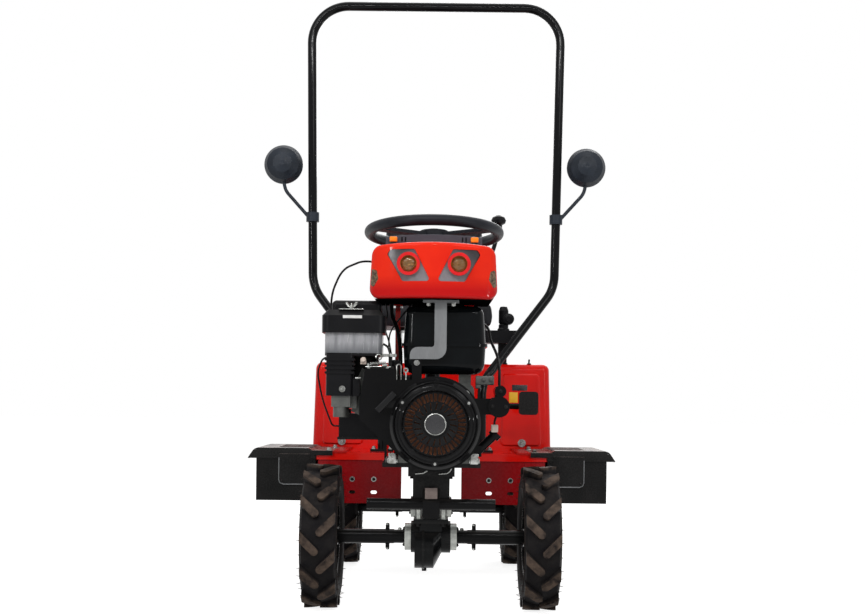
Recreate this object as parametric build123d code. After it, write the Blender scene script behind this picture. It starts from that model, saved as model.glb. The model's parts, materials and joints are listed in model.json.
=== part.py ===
from build123d import *
import math
import os

# Articulated mini tractor with a front single-cylinder engine.
# X runs to the driver's left, Y to the rear, Z up; the steering pivot stands at X = Y = 0.

# Stance
WHEELBASE = 1050.0
FRONT_AXLE_TO_PIVOT = 480.0
FRONT_OVERHANG = 330.0
REAR_OVERHANG = 240.0
TRACK = 626.0
SEAT_GAP = 0.3
RUN_GAP = 0.1

# Tyres and rims
TYRE_RADIUS = 207.0
TYRE_WIDTH = 104.0
LUG_HEIGHT = 16.0
LUG_WIDTH = 22.0
LUGS_PER_SIDE = 12
RIM_RADIUS = 101.6
RIM_WIDTH = 76.0
RIM_WALL = 4.0

# Axles and gearboxes
AXLE_TUBE_RADIUS = 21.0
SHAFT_RADIUS = 19.5
SLEEVE_START = 106.0
GEARBOX_HALF = 57.0
DRUM_RADIUS = 46.0
CAP_RADIUS = 39.0
CAP_THICKNESS = 18.0
SUMP_RADIUS = 62.0
SUMP_DROP = 29.0
FLANGE_THICKNESS = 12.0
SPACER_LENGTH = 63.0

# Spine and steering pivot
SPINE_HALF = 51.0
SPINE_HEIGHT = 68.0
PIN_RADIUS = 20.0
BOSS_RADIUS = 34.0
EAR_THICKNESS = 13.5
EAR_GAP = 0.5
BUMPER_RADIUS = 15.5
BUMPER_HALF = 178.0

# Platform
FLOOR_RISE = 37.0
SHEET = 5.0
FLOOR_HALF = 371.0
BODY_FRONT = 300.0
BODY_TAIL = 170.0
BODY_HALF = 417.0
BODY_HEIGHT = 301.0
BODY_TAPER = 9.0
BODY_BEND = 24.0
PANEL_RAISE = 6.0
APRON_DROP = 159.0
APRON_HALF = 300.0
PLATE_INNER = 277.0
PLATE_OUTER = 594.0
PLATE_LIP = 26.0
PLATE_STEP = 8.0
SPLASH_INSET = 28.0
SPLASH_DROP = 157.0
HITCH_RADIUS = 34.0

# Roll bar and mirrors
HOOP_TUBE = 15.0
HOOP_HEIGHT = 1529.0
HOOP_HALF = 426.0
HOOP_WAIST_HALF = 412.0
WAIST_HEIGHT = 555.0
KNEE_HEIGHT = 230.0
HOOP_FOOT_HALF = 165.0
HOOP_FOOT_Y = 85.0
HOOP_Y = 200.0
CLAMP_RISE = 237.0
MIRROR_OUT = 105.0
MIRROR_RISE = 179.0
MIRROR_RADIUS = 66.0

# Seat
SEAT_BASE_HEIGHT = 124.0
SEAT_BASE_HALF = 128.0
SEAT_HALF = 215.0
CONSOLE_REACH = 84.0
SEAT_OVERHANG = 100.0
SEAT_LENGTH = 370.0
SEAT_THICKNESS = 95.0
BACK_HEIGHT = 300.0
BACK_THICKNESS = 85.0
BACK_TOP_HALF = 188.0

# Engine, from the recoil starter rearward
ENGINE_X = 9.0
BED_HEIGHT = 37.0
BED_HALF = 135.0
CRANK_HEIGHT = 109.0
RECOIL_RADIUS = 122.0
RECOIL_DEPTH = 50.0
GRILLE_RADIUS = 84.0
GRILLE_SLOTS = 40
SLOT_WIDTH = 8.4
INNER_VENTS = 20
HUB_DISC = 32.0
SHROUD_RADIUS = 128.0
SHROUD_DEPTH = 70.0
SCROLL_REACH = 205.0
BLOCK_DEPTH = 140.0
CLUTCH_DEPTH = 84.0
CLUTCH_RADIUS = 84.0
CYLINDER_TILT = 25.0
HEAD_REACH = 225.0
FIN_COUNT = 8

# Fuel tank
TANK_LEFT = 150.0
TANK_RIGHT = -86.0
TANK_HEIGHT = 188.0
TANK_DEPTH = 197.0
TANK_SEAM = 80.0

# Air cleaner
CLEANER_X = -217.0
CLEANER_WIDTH = 172.0
CLEANER_DEPTH = 162.0
CLEANER_RISE = 73.0
CLEANER_DUCT = 117.0
BOWL_HEIGHT = 55.0
CAP_HEIGHT = 63.0
DOME_HEIGHT = 28.0

# Hood, dash and steering wheel
HOOD_CLEARANCE = 14.0
HOOD_HEIGHT = 152.0
HOOD_HALF = 176.0
HOOD_TOP_HALF = 167.0
HOOD_DEPTH = 290.0
HOOD_BOW = 55.0
HOOD_CROWN = 8.0
HOOD_EDGE = 10.0
HOOD_WALL = 5.0
EYE_GAP = 9.0
LAMP_RISE = 92.0
LAMP_RING = 31.0
LAMP_LENS = 22.0
DASH_RISE = 44.0
DASH_LIP = 27.0
WHEEL_SETBACK = 115.0
WHEEL_RISE = 72.0
WHEEL_TILT = 4.5
WHEEL_RIM = 191.5
RIM_GRIP = 16.0
COLUMN_RADIUS = 22.0

# Derived places
AXLE_Z = TYRE_RADIUS
FRONT_AXLE_Y = -FRONT_AXLE_TO_PIVOT
REAR_AXLE_Y = WHEELBASE - FRONT_AXLE_TO_PIVOT
FLANGE_TOP = AXLE_Z + 55.0
SPINE_BOTTOM = FLANGE_TOP + SPACER_LENGTH
SPINE_TOP = SPINE_BOTTOM + SPINE_HEIGHT
BED_TOP = SPINE_TOP + BED_HEIGHT
CRANK_Z = BED_TOP + CRANK_HEIGHT
FLOOR_TOP = SPINE_TOP + FLOOR_RISE
FLOOR_FRONT = -(BOSS_RADIUS + 4.0) - SHEET - 2.0
FRAME_REAR = REAR_AXLE_Y + 80.0
HITCH_END = REAR_AXLE_Y + REAR_OVERHANG
BODY_TOP = FLOOR_TOP + BODY_HEIGHT
BODY_REAR = REAR_AXLE_Y + BODY_TAIL
APRON_NOTCH = SPINE_HALF + 46.0
SPLASH_OUTER = PLATE_OUTER - SPLASH_INSET
SPLASH_BOTTOM = FLOOR_TOP - SPLASH_DROP
HOOP_TOP = FLOOR_TOP + HOOP_HEIGHT
HOOP_WAIST = FLOOR_TOP + WAIST_HEIGHT
HOOP_KNEE = FLOOR_TOP + KNEE_HEIGHT
CLAMP_Z = HOOP_WAIST + CLAMP_RISE
MIRROR_X = HOOP_WAIST_HALF + MIRROR_OUT
MIRROR_Z = CLAMP_Z + MIRROR_RISE
RECOIL_FRONT = FRONT_AXLE_Y - FRONT_OVERHANG
SHROUD_FRONT = RECOIL_FRONT + RECOIL_DEPTH
BLOCK_FRONT = SHROUD_FRONT + SHROUD_DEPTH
BLOCK_REAR = BLOCK_FRONT + BLOCK_DEPTH
CLUTCH_REAR = BLOCK_REAR + CLUTCH_DEPTH
HEAD_FRONT = BLOCK_FRONT + 30.0
SPINE_FRONT = BLOCK_FRONT + 50.0
TANK_BOTTOM = CRANK_Z + SHROUD_RADIUS + 7.0
BLOCK_TOP = TANK_BOTTOM - 24.0
TANK_TOP = TANK_BOTTOM + TANK_HEIGHT
TANK_FRONT = BLOCK_FRONT - 32.0
CLEANER_BASE_Z = CRANK_Z + CLEANER_RISE
BOWL_BOTTOM = CLEANER_BASE_Z + CLEANER_DUCT
CAP_BOTTOM = BOWL_BOTTOM + BOWL_HEIGHT
CLEANER_TOP = CAP_BOTTOM + CAP_HEIGHT + DOME_HEIGHT
CLEANER_FRONT = BLOCK_FRONT - 36.0
HOOD_BOTTOM = max(TANK_TOP + HOOD_CLEARANCE, CLEANER_TOP + 1.0)
HOOD_TOP = HOOD_BOTTOM + HOOD_HEIGHT
HOOD_REAR = CLUTCH_REAR - 19.0
HOOD_FRONT = HOOD_REAR - HOOD_DEPTH
LAMP_X = EYE_GAP + 1.9 * LAMP_RING
LAMP_Z = HOOD_BOTTOM + LAMP_RISE
EYE_END = LAMP_X + 1.87 * LAMP_RING
WHEEL_CENTRE_Y = HOOD_REAR + WHEEL_SETBACK
WHEEL_CENTRE_Z = HOOD_TOP + WHEEL_RISE
SEAT_FRONT = BODY_FRONT - SEAT_OVERHANG
SEAT_BOTTOM = BODY_TOP + SEAT_BASE_HEIGHT
SEAT_TOP = SEAT_BOTTOM + SEAT_THICKNESS

TURN = {"x": Rot(0, 90, 0), "y": Rot(90, 0, 0), "z": Rot(0, 0, 0)}


def bar(x, y, z):
    size = Box(x[1] - x[0], y[1] - y[0], z[1] - z[0])
    return Pos((x[0] + x[1]) / 2, (y[0] + y[1]) / 2, (z[0] + z[1]) / 2) * size


def rod(axis, radius, span, at):
    mid = (span[0] + span[1]) / 2
    place = {"x": (mid, *at), "y": (at[0], mid, at[1]), "z": (*at, mid)}[axis]
    return Pos(*place) * TURN[axis] * Cylinder(radius, span[1] - span[0])


def front_plate(sketch, y):
    return extrude(Pos(0, y[0], 0) * (Plane.XZ * sketch), amount=y[1] - y[0], dir=(0, 1, 0))


def side_plate(sketch, x):
    return extrude(Pos(x[0], 0, 0) * (Plane.YZ * sketch), amount=x[1] - x[0], dir=(1, 0, 0))


def flat_plate(sketch, z):
    return extrude(Pos(0, 0, z[0]) * sketch, amount=z[1] - z[0], dir=(0, 0, 1))


def outline(points, radius=0.0):
    shape = Polygon(*points, align=None)
    return fillet(shape.vertices(), radius) if radius else shape


def round_corners(shape, corners):
    for x, z, radius in corners:
        shape = fillet(shape.vertices().sort_by_distance((x, z))[0], radius)
    return shape


def other_side(shape):
    return mirror(shape, about=Plane.YZ)


def both(shape):
    return Compound(children=[shape.solid(), other_side(shape).solid()])


def group(shapes):
    return Compound(children=[shape.solid() for shape in shapes])


def soft_block(x, y, z, radius):
    block = bar(x, y, z)
    return fillet(block.edges(), radius)


def tube_path(points, share=0.4):
    corners = [Vector(*p) for p in points]
    radii = []
    for before, here, after in zip(corners, corners[1:], corners[2:]):
        turn = math.radians((here - before).get_angle(after - here))
        run = share * min((here - before).length, (after - here).length)
        radii.append(run / math.tan(turn / 2))
    return FilletPolyline(*points, radius=radii)


def tube(points, radius, share=0.4):
    path = tube_path(points, share)
    return sweep(Plane(path @ 0, z_dir=path % 0) * Circle(radius), path=path)


def tyre():
    half = TYRE_WIDTH / 2
    bead = RIM_RADIUS + SEAT_GAP
    carcass = TYRE_RADIUS - LUG_HEIGHT
    wall = carcass - bead
    seat = RIM_WIDTH / 2 - SEAT_GAP
    foot = (seat, bead + 0.18 * wall)
    shoulder = (half - 7, carcass - 0.05 * wall)
    flank = ThreePointArc(foot, (half, bead + 0.6 * wall), shoulder)
    crown = ThreePointArc(shoulder, (0, carcass), (-shoulder[0], shoulder[1]))
    far_flank = ThreePointArc((-shoulder[0], shoulder[1]), (-half, bead + 0.6 * wall), (-seat, foot[1]))
    base = Polyline((-seat, foot[1]), (-seat, bead), (seat, bead), foot)
    body = revolve(make_face(flank + crown + far_flank + base), axis=Axis.X)
    tread = half - 3
    reach = tread - 3
    place = Pos(tread - reach / 2 + 6, 0) * Rot(0, 0, 45)
    bar_end = place * Pos(-reach * 0.75, 0) * Circle(LUG_WIDTH / 2)
    plan = place * Rectangle(reach * 1.5, LUG_WIDTH) + bar_end
    blank = extrude(Pos(0, 0, carcass - 16) * plan, amount=LUG_HEIGHT + 24)
    lug = blank & rod("x", TYRE_RADIUS, (-tread, tread), (0, 0))
    pitch = 360 / LUGS_PER_SIDE
    for step in range(LUGS_PER_SIDE):
        body += Rot(pitch * step, 0, 0) * lug
        body += Rot(pitch * (step + 0.5), 0, 0) * other_side(lug)
    return body


def rim():
    half = RIM_WIDTH / 2
    inner = RIM_RADIUS - RIM_WALL
    barrel = outline([
        (-half - 4, inner),
        (half + 4, inner),
        (half + 4, RIM_RADIUS + 12),
        (half, RIM_RADIUS + 12),
        (half, RIM_RADIUS),
        (-half, RIM_RADIUS),
        (-half, RIM_RADIUS + 12),
        (-half - 4, RIM_RADIUS + 12),
    ])
    disc = outline([
        (-10, 0),
        (-10, 52),
        (8, inner - 17.6),
        (8, inner + 1),
        (12, inner + 1),
        (12, inner - 19.6),
        (-5, 52),
        (-5, 0),
    ])
    wheel = revolve(barrel, axis=Axis.X) + revolve(disc, axis=Axis.X)
    for turn in (45, 135, 225, 315):
        wheel -= Rot(turn, 0, 0) * rod("x", 9, (-half, half), (0, inner - 9.6))
    return wheel


def axle():
    disc_face = TRACK / 2 - 10
    tube_end = GEARBOX_HALF + 1
    body = rod("x", SHAFT_RADIUS, (tube_end, disc_face), (0, 0))
    body += rod("x", AXLE_TUBE_RADIUS, (SLEEVE_START, disc_face), (0, 0))
    body += rod("x", 46, (disc_face - 9, disc_face), (0, 0))
    body += rod("x", AXLE_TUBE_RADIUS + 5, (disc_face - 34, disc_face), (0, 0))
    body += rod("z", 6, (-AXLE_TUBE_RADIUS - 12, AXLE_TUBE_RADIUS + 12), (125, 0))
    return body


def gearbox(y, side):
    sump = (y, AXLE_Z - SUMP_DROP)
    body = rod("x", DRUM_RADIUS, (-GEARBOX_HALF, GEARBOX_HALF), (y, AXLE_Z))
    body += rod("x", SUMP_RADIUS, (-46, 8), sump)
    body += rod("x", SUMP_RADIUS + 4, (-25, -18), sump)
    wide = Plane.YZ.offset(8) * Pos(*sump) * Circle(SUMP_RADIUS)
    slim = Plane.YZ.offset(32) * Pos(y, AXLE_Z) * Circle(DRUM_RADIUS - 1)
    body += loft([wide, slim])
    body += bar((-32, 32), (y - 42, y + 42), (AXLE_Z, FLANGE_TOP))
    body += bar((-50, 50), (y - 60, y + 60), (FLANGE_TOP - FLANGE_THICKNESS, FLANGE_TOP))
    neck = (min(y, y - 26 * side), max(y, y - 26 * side))
    body += bar((-20, 20), neck, (AXLE_Z, SPINE_BOTTOM))
    floor = sump[1] - SUMP_RADIUS
    return body + rod("z", 7, (floor - 8, floor + 10), (-18, y))


def gearbox_fittings(y):
    parts = []
    for side in (-1, 1):
        span = sorted((side * GEARBOX_HALF, side * (GEARBOX_HALF + CAP_THICKNESS)))
        ring = rod("x", CAP_RADIUS, span, (y, AXLE_Z))
        parts.append(ring - rod("x", SHAFT_RADIUS + SEAT_GAP, span, (y, AXLE_Z)))
        for end in (-1, 1):
            parts.append(rod("z", 9.5, (FLANGE_TOP, SPINE_BOTTOM), (side * 36, y + end * 44)))
    return group(parts)


def front_frame():
    back = -BOSS_RADIUS - 24
    frame = bar((-SPINE_HALF, SPINE_HALF), (SPINE_FRONT, back), (SPINE_BOTTOM, SPINE_TOP))
    frame += bar((-30, 30), (back, 0), (SPINE_BOTTOM, SPINE_TOP))
    frame += rod("z", BOSS_RADIUS, (SPINE_BOTTOM - 5, SPINE_TOP + 5), (0, 0))
    frame -= rod("z", PIN_RADIUS + RUN_GAP, (SPINE_BOTTOM - 9, SPINE_TOP + 9), (0, 0))
    bed_y = (BLOCK_FRONT + 2, CLUTCH_REAR + 10)
    frame += bar((-BED_HALF, BED_HALF), bed_y, (BED_TOP - 12, BED_TOP))
    for y in (bed_y[0] + 8, bed_y[1] - 44):
        frame += bar((-64, 64), (y, y + 36), (SPINE_TOP, BED_TOP - 12))
    tray_y = (BLOCK_REAR + 8, CLUTCH_REAR + 10)
    frame += bar((-BED_HALF, 7 - BED_HALF), tray_y, (BED_TOP - 6, BED_TOP + 65))
    frame += bar((-BED_HALF - 135, 7 - BED_HALF), tray_y, (BED_TOP + 58, BED_TOP + 65))
    return frame


def front_bumper():
    bar_z = SPINE_BOTTOM - 10
    bar_y = SPINE_FRONT - BUMPER_RADIUS
    back = bar_y - BUMPER_RADIUS + 4
    front = back - 20
    bumper = rod("x", BUMPER_RADIUS, (-BUMPER_HALF, BUMPER_HALF), (bar_y, bar_z))
    post = outline([
        (front, bar_z - 38),
        (back, bar_z - 38),
        (back, bar_z + 12),
        (SPINE_FRONT, bar_z + 12),
        (SPINE_FRONT, bar_z + 44),
        (SPINE_FRONT - 6, bar_z + 44),
        (front, bar_z + 8),
    ])
    return bumper + side_plate(post, (-23, 23))


def engine_block():
    wide = (ENGINE_X - 100, ENGINE_X + 106)
    block = bar(wide, (BLOCK_FRONT, BLOCK_REAR), (BED_TOP, BLOCK_TOP))
    block = fillet(block.edges().filter_by(Axis.Y).sort_by(Axis.Z)[2:], 22)
    block += bar((-128, 128), (BLOCK_FRONT + 12, BLOCK_REAR), (BED_TOP, BED_TOP + 12))
    head_y = (HEAD_FRONT, BLOCK_REAR - 4)
    place = Pos(ENGINE_X, 0, CRANK_Z) * Rot(0, CYLINDER_TILT, 0)
    jug = bar((-HEAD_REACH, -60), (head_y[0] + 12, head_y[1] - 12), (-58, 58))
    head = bar((-HEAD_REACH, 44 - HEAD_REACH), head_y, (-70, 70))
    cover = bar((-HEAD_REACH - 24, -HEAD_REACH), (head_y[0] + 14, head_y[1] - 14), (-50, 50))
    barrel = jug + head + cover
    pitch = (HEAD_REACH - 44 - 96) / FIN_COUNT
    for step in range(FIN_COUNT):
        x = -96 - pitch * (step + 0.5)
        barrel += bar((x - 2, x + 2), head_y, (-70, 70))
    block += place * barrel
    for x in (TANK_RIGHT + 40, TANK_LEFT - 60):
        block += bar((x - 16, x + 16), (BLOCK_FRONT + 20, BLOCK_REAR - 20), (BLOCK_TOP - 24, TANK_BOTTOM))
    return block


def fan_shroud():
    y = (SHROUD_FRONT, BLOCK_FRONT)
    left = outline([
        (ENGINE_X - 90, CRANK_Z - 91),
        (ENGINE_X - SCROLL_REACH, CRANK_Z + 10),
        (ENGINE_X - SCROLL_REACH, CRANK_Z + 60),
        (ENGINE_X - SCROLL_REACH + 15, CRANK_Z + 147),
        (TANK_RIGHT - 12, CRANK_Z + 147),
        (TANK_RIGHT - 12, CRANK_Z + 118),
        (ENGINE_X, CRANK_Z + 118),
        (ENGINE_X, CRANK_Z),
    ])
    shroud = rod("y", SHROUD_RADIUS, y, (ENGINE_X, CRANK_Z)) + front_plate(left, y)
    panel = outline([
        (ENGINE_X - 151, CRANK_Z + 30),
        (ENGINE_X - 80, CRANK_Z + 30),
        (ENGINE_X - 80, CRANK_Z + 104),
        (ENGINE_X - 151, CRANK_Z + 104),
    ], 8)
    bore = rod("y", RECOIL_RADIUS + 2, (y[0] - 6, y[0]), (ENGINE_X, CRANK_Z))
    shroud += front_plate(panel, (y[0] - 5, y[0])) - bore
    shroud += bar((-56, -30), (TANK_FRONT - 9, TANK_FRONT - 4), (CRANK_Z + 100, CRANK_Z + 178))
    return shroud


def recoil_cover():
    rear = SHROUD_FRONT
    front = RECOIL_FRONT
    rim = RECOIL_RADIUS - GRILLE_RADIUS
    dish = front + 12
    profile = outline([
        (0, rear),
        (RECOIL_RADIUS, rear),
        (RECOIL_RADIUS, front + 26),
        (GRILLE_RADIUS + 0.8 * rim, front + 16),
        (GRILLE_RADIUS + 0.68 * rim, front + 16),
        (GRILLE_RADIUS + 0.6 * rim, front + 8),
        (GRILLE_RADIUS + 0.36 * rim, front + 5),
        (GRILLE_RADIUS + 0.16 * rim, front + 3),
        (GRILLE_RADIUS + 0.02 * rim, dish),
        (HUB_DISC + 26, dish),
        (HUB_DISC + 4, front + 6),
        (HUB_DISC, front + 6),
        (HUB_DISC, front),
        (0, front),
    ])
    cover = revolve(profile, axis=Axis.Y)
    well = rod("y", GRILLE_RADIUS, (dish + 8, rear + 1), (0, 0))
    cover -= well - rod("y", HUB_DISC - 2, (dish + 7, rear + 2), (0, 0))
    screw_at = GRILLE_RADIUS + 0.55 * rim
    for turn in (-57, 57, 180):
        cover += Rot(0, turn, 0) * rod("y", 9, (front + 3, rear), (0, screw_at))
    crest = outline([(-15, RECOIL_RADIUS - 6), (0, GRILLE_RADIUS + 12), (15, RECOIL_RADIUS - 6)])
    cover -= front_plate(crest, (front - 1, front + 13))
    inner = HUB_DISC + 29
    outer = GRILLE_RADIUS - 2
    half = SLOT_WIDTH / 2
    slot = outline([(1 - half, inner), (half - 1, inner), (half, outer), (-half, outer)])
    vent = outline([(-1.6, HUB_DISC + 7), (1.6, HUB_DISC + 7), (6.4, inner - 4), (2.4, inner - 4)])
    for sketch, count in ((slot, GRILLE_SLOTS), (vent, INNER_VENTS)):
        cut = front_plate(sketch, (front - 10, rear))
        for step in range(count):
            cover -= Rot(0, 360 / count * step, 0) * cut
    reach = RECOIL_RADIUS + 22
    grip = fillet(bar((-33, 33), (-10, 10), (-9, 9)).edges().filter_by(Axis.X), 4)
    cover += Pos(-0.92 * reach, front + 30, 0.4 * reach) * Rot(0, -46, 0) * grip
    cover += bar((-0.92 * reach, 0), (front + 28, rear - 7), (0.36 * reach - 9, 0.36 * reach + 9)) - well
    return Pos(ENGINE_X, 0, CRANK_Z) * cover


def recoil_screen():
    rear = SHROUD_FRONT
    front = RECOIL_FRONT + 27
    disc = rod("y", GRILLE_RADIUS - SEAT_GAP, (front, rear), (ENGINE_X, CRANK_Z))
    return disc - rod("y", HUB_DISC - 2 + SEAT_GAP, (front - 1, rear + 1), (ENGINE_X, CRANK_Z))


def clutch_housing():
    housing = rod("y", CLUTCH_RADIUS, (BLOCK_REAR, CLUTCH_REAR), (ENGINE_X, CRANK_Z))
    housing += bar((-50, 50), (BLOCK_REAR + 6, CLUTCH_REAR - 4), (BED_TOP, CRANK_Z))
    return housing


def fuel_tank():
    wide = TANK_LEFT - TANK_RIGHT
    seam = TANK_BOTTOM + TANK_SEAM
    place = Pos((TANK_LEFT + TANK_RIGHT) / 2, TANK_FRONT + TANK_DEPTH / 2, seam)
    flange = place * RectangleRounded(wide, TANK_DEPTH, 40)
    wall = place * RectangleRounded(wide - 10, TANK_DEPTH - 10, 36)
    upper = extrude(wall, amount=TANK_HEIGHT - TANK_SEAM, taper=4)
    upper = fillet(upper.faces().sort_by(Axis.Z)[-1].edges(), 26)
    lower = extrude(wall, amount=-TANK_SEAM, taper=3)
    lower = fillet(lower.faces().sort_by(Axis.Z)[0].edges(), 30)
    return upper + lower + Pos(0, 0, -4) * extrude(flange, amount=8)


def fuel_cap():
    return rod("z", 27, (TANK_TOP, TANK_TOP + 10), ((TANK_LEFT + TANK_RIGHT) / 2, TANK_FRONT + 130))


def tank_strap():
    y = (TANK_FRONT - 14, TANK_FRONT - 9)
    top = HOOD_BOTTOM - 8
    hook = CRANK_Z + 175
    strap = outline([
        (4, top),
        (4, hook + 33),
        (-62, hook + 33),
        (-62, hook),
        (37, hook),
        (37, top),
    ])
    strap = round_corners(strap, [(4, hook + 33, 8), (-62, hook + 33, 22), (37, hook, 30)])
    flange = bar((-28, 70), (TANK_FRONT - 14, TANK_FRONT + 26), (top, HOOD_BOTTOM))
    return front_plate(strap, y) + flange


def cleaner_box(margin, z, radius):
    x = (CLEANER_X - CLEANER_WIDTH / 2 + margin, CLEANER_X + CLEANER_WIDTH / 2 - margin)
    y = (CLEANER_FRONT + margin, CLEANER_FRONT + CLEANER_DEPTH - margin)
    plan = Pos((x[0] + x[1]) / 2, (y[0] + y[1]) / 2) * RectangleRounded(x[1] - x[0], y[1] - y[0], radius)
    return flat_plate(plan, z)


def air_cleaner_base():
    duct_x = (CLEANER_X - 73, CLEANER_X + 1)
    base = bar(duct_x, (CLEANER_FRONT + 6, HEAD_FRONT - 5), (CLEANER_BASE_Z, BOWL_BOTTOM))
    base = fillet(base.edges().filter_by(Axis.Z), 10)
    choke_y = (CLEANER_FRONT + 12, HEAD_FRONT - 12)
    choke = bar((duct_x[1] - 4, ENGINE_X - SCROLL_REACH - 2), choke_y, (CLEANER_BASE_Z, CLEANER_BASE_Z + 48))
    base += fillet(choke.edges().filter_by(Axis.Y), 6)
    for step in range(4):
        z = BOWL_BOTTOM - 18 - step * 12
        rib_x = (duct_x[0] - 3, duct_x[1] + 3)
        base += bar(rib_x, (CLEANER_FRONT + 3, HEAD_FRONT - 8), (z - 3, z + 3))
    return base + cleaner_box(8, (BOWL_BOTTOM - 7, BOWL_BOTTOM), 22)


def air_cleaner_bowl():
    return cleaner_box(8, (BOWL_BOTTOM, CAP_BOTTOM), 22)


def air_cleaner_cap():
    cap = cleaner_box(0, (CAP_BOTTOM, CAP_BOTTOM + CAP_HEIGHT), 24)
    cap = chamfer(cap.faces().sort_by(Axis.Z)[-1].edges(), 16)
    dome = soft_block(
        (CLEANER_X - 62, CLEANER_X + 74),
        (CLEANER_FRONT + 40, CLEANER_FRONT + CLEANER_DEPTH - 18),
        (CAP_BOTTOM + 20, CAP_BOTTOM + CAP_HEIGHT + DOME_HEIGHT),
        14,
    )
    return cap + dome


def carburettor():
    x = CLEANER_X - 32
    y = CLEANER_FRONT + 34
    body = rod("z", 22, (CLEANER_BASE_Z - 58, CLEANER_BASE_Z - 22), (x, y))
    body += bar((x - 26, x + 26), (y - 22, y + 22), (CLEANER_BASE_Z - 30, CLEANER_BASE_Z))
    body += bar((x - 4, x + 42), (y, HEAD_FRONT), (CLEANER_BASE_Z - 34, CLEANER_BASE_Z))
    return body


def starter_motor():
    x = ENGINE_X + 172
    z = CRANK_Z + 48
    motor = rod("y", 29, (SHROUD_FRONT + 20, BLOCK_FRONT + 70), (x, z))
    motor += rod("y", 16, (SHROUD_FRONT + 34, BLOCK_FRONT + 50), (x + 4, z + 42))
    motor += bar((x - 10, x + 10), (SHROUD_FRONT + 60, BLOCK_FRONT + 40), (z, z + 40))
    motor += bar((ENGINE_X + 106, x), (BLOCK_FRONT + 10, BLOCK_FRONT + 50), (z - 22, z + 22))
    return motor


def oil_filler():
    low = (ENGINE_X + 119, CRANK_Z - 74)
    neck = Plane((low[0], BLOCK_FRONT + 30, low[1]), z_dir=(0.72, 0, 0.69))
    filler = extrude(neck * Circle(12), amount=62) + extrude(neck.offset(56) * Circle(17), amount=16)
    boss_x = (ENGINE_X + 106, ENGINE_X + 128)
    return filler + bar(boss_x, (BLOCK_FRONT + 10, BLOCK_FRONT + 50), (low[1] - 16, low[1] + 14))


def muffler():
    x = (CLEANER_X - 78, CLEANER_X + 62)
    box = soft_block(x, (BLOCK_REAR + 6, BLOCK_REAR + 104), (CRANK_Z + 106, CRANK_Z + 222), 24)
    pipe_z = (CRANK_Z + 112, CRANK_Z + 150)
    pipe = bar((CLEANER_X + 10, CLEANER_X + 52), (BLOCK_REAR - 4, BLOCK_REAR + 40), pipe_z)
    return box + pipe


def battery():
    x = (-BED_HALF - 131, -BED_HALF - 11)
    y = (BLOCK_REAR + 12, CLUTCH_REAR + 6)
    z = (BED_TOP + 65, BED_TOP + 133)
    case = bar(x, y, z)
    for side in x:
        inset = 26 if side == x[0] else -26
        case += rod("z", 7, (z[1], z[1] + 12), (side + inset, (y[0] + y[1]) / 2))
    return case


def hood_front():
    brow = HOOD_TOP - HOOD_CROWN
    sides = Polyline(
        (-HOOD_TOP_HALF, brow),
        (-HOOD_HALF, HOOD_BOTTOM),
        (HOOD_HALF, HOOD_BOTTOM),
        (HOOD_TOP_HALF, brow),
    )
    crown = ThreePointArc((HOOD_TOP_HALF, brow), (0, HOOD_TOP), (-HOOD_TOP_HALF, brow))
    return fillet(make_face(sides + crown).vertices(), 30)


def hood_form(inset, tail=0.0):
    front = hood_front()
    shoulder = HOOD_FRONT + HOOD_BOW
    side = Polyline(
        (HOOD_HALF, shoulder),
        (HOOD_HALF, HOOD_REAR),
        (-HOOD_HALF, HOOD_REAR),
        (-HOOD_HALF, shoulder),
    )
    bow = ThreePointArc((-HOOD_HALF, shoulder), (0, HOOD_FRONT), (HOOD_HALF, shoulder))
    plan = make_face(side + bow)
    plan = fillet(plan.vertices().sort_by(Axis.Y)[:2], 44)
    if inset:
        front = offset(front, -inset)
        plan = offset(plan, -inset)
    deep = front_plate(front, (HOOD_FRONT - 10, HOOD_REAR + tail))
    tall = flat_plate(plan, (HOOD_BOTTOM - 10, HOOD_TOP + 10))
    if tail:
        half = HOOD_HALF - inset
        tall += bar((-half, half), (HOOD_REAR - 40, HOOD_REAR + tail), (HOOD_BOTTOM - 10, HOOD_TOP + 10))
    return deep & tall


def eye_sketch(grow=0.0):
    # shares of the lamp ring's radius across and up from the lamp's centre
    shares = [(-1.9, -1.48), (0.52, -1.48), (1.87, 0.9), (1.58, 1.29), (-0.52, 1.29)]
    eye = outline([(LAMP_X + across * LAMP_RING, LAMP_Z + up * LAMP_RING) for across, up in shares], 7)
    return offset(eye, grow) if grow else eye


def corner_sketch(grow=0.0):
    # share of the width left beside the eye, and height above the hood's lower edge
    places = [(0.48, 54), (0.74, 31), (0.9, 39), (0.84, 82), (0.56, 76)]
    side = HOOD_HALF - EYE_END
    leaf = outline([(EYE_END + across * side, HOOD_BOTTOM + up) for across, up in places], 4)
    return offset(leaf, grow) if grow else leaf


def hood_cut(sketch):
    return front_plate(sketch, (HOOD_FRONT - 5, HOOD_REAR - 40))


def hood():
    outer = hood_form(0)
    nose = outer.edges().filter_by(lambda edge: edge.bounding_box().max.Y < HOOD_REAR - 40)
    nose = nose.filter_by(lambda edge: abs(edge.tangent_at(0.5).Z) < 0.9)
    shell = fillet(nose, HOOD_EDGE) - hood_form(HOOD_WALL, 20)
    for sketch in (eye_sketch(SEAT_GAP), corner_sketch(SEAT_GAP)):
        shell -= hood_cut(sketch)
        shell -= other_side(hood_cut(sketch))
    return shell


def hood_inlay(sketch, outer, inner):
    return hood_cut(sketch) & (hood_form(outer) - hood_form(inner, 20))


def lamp_panels():
    panel = hood_inlay(eye_sketch(), 3, 3 + HOOD_WALL)
    return both(panel - lamp_hole(LAMP_RING - 6))


def lamp_hole(radius):
    return rod("y", radius, (HOOD_FRONT - 20, HOOD_REAR), (LAMP_X, LAMP_Z))


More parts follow.
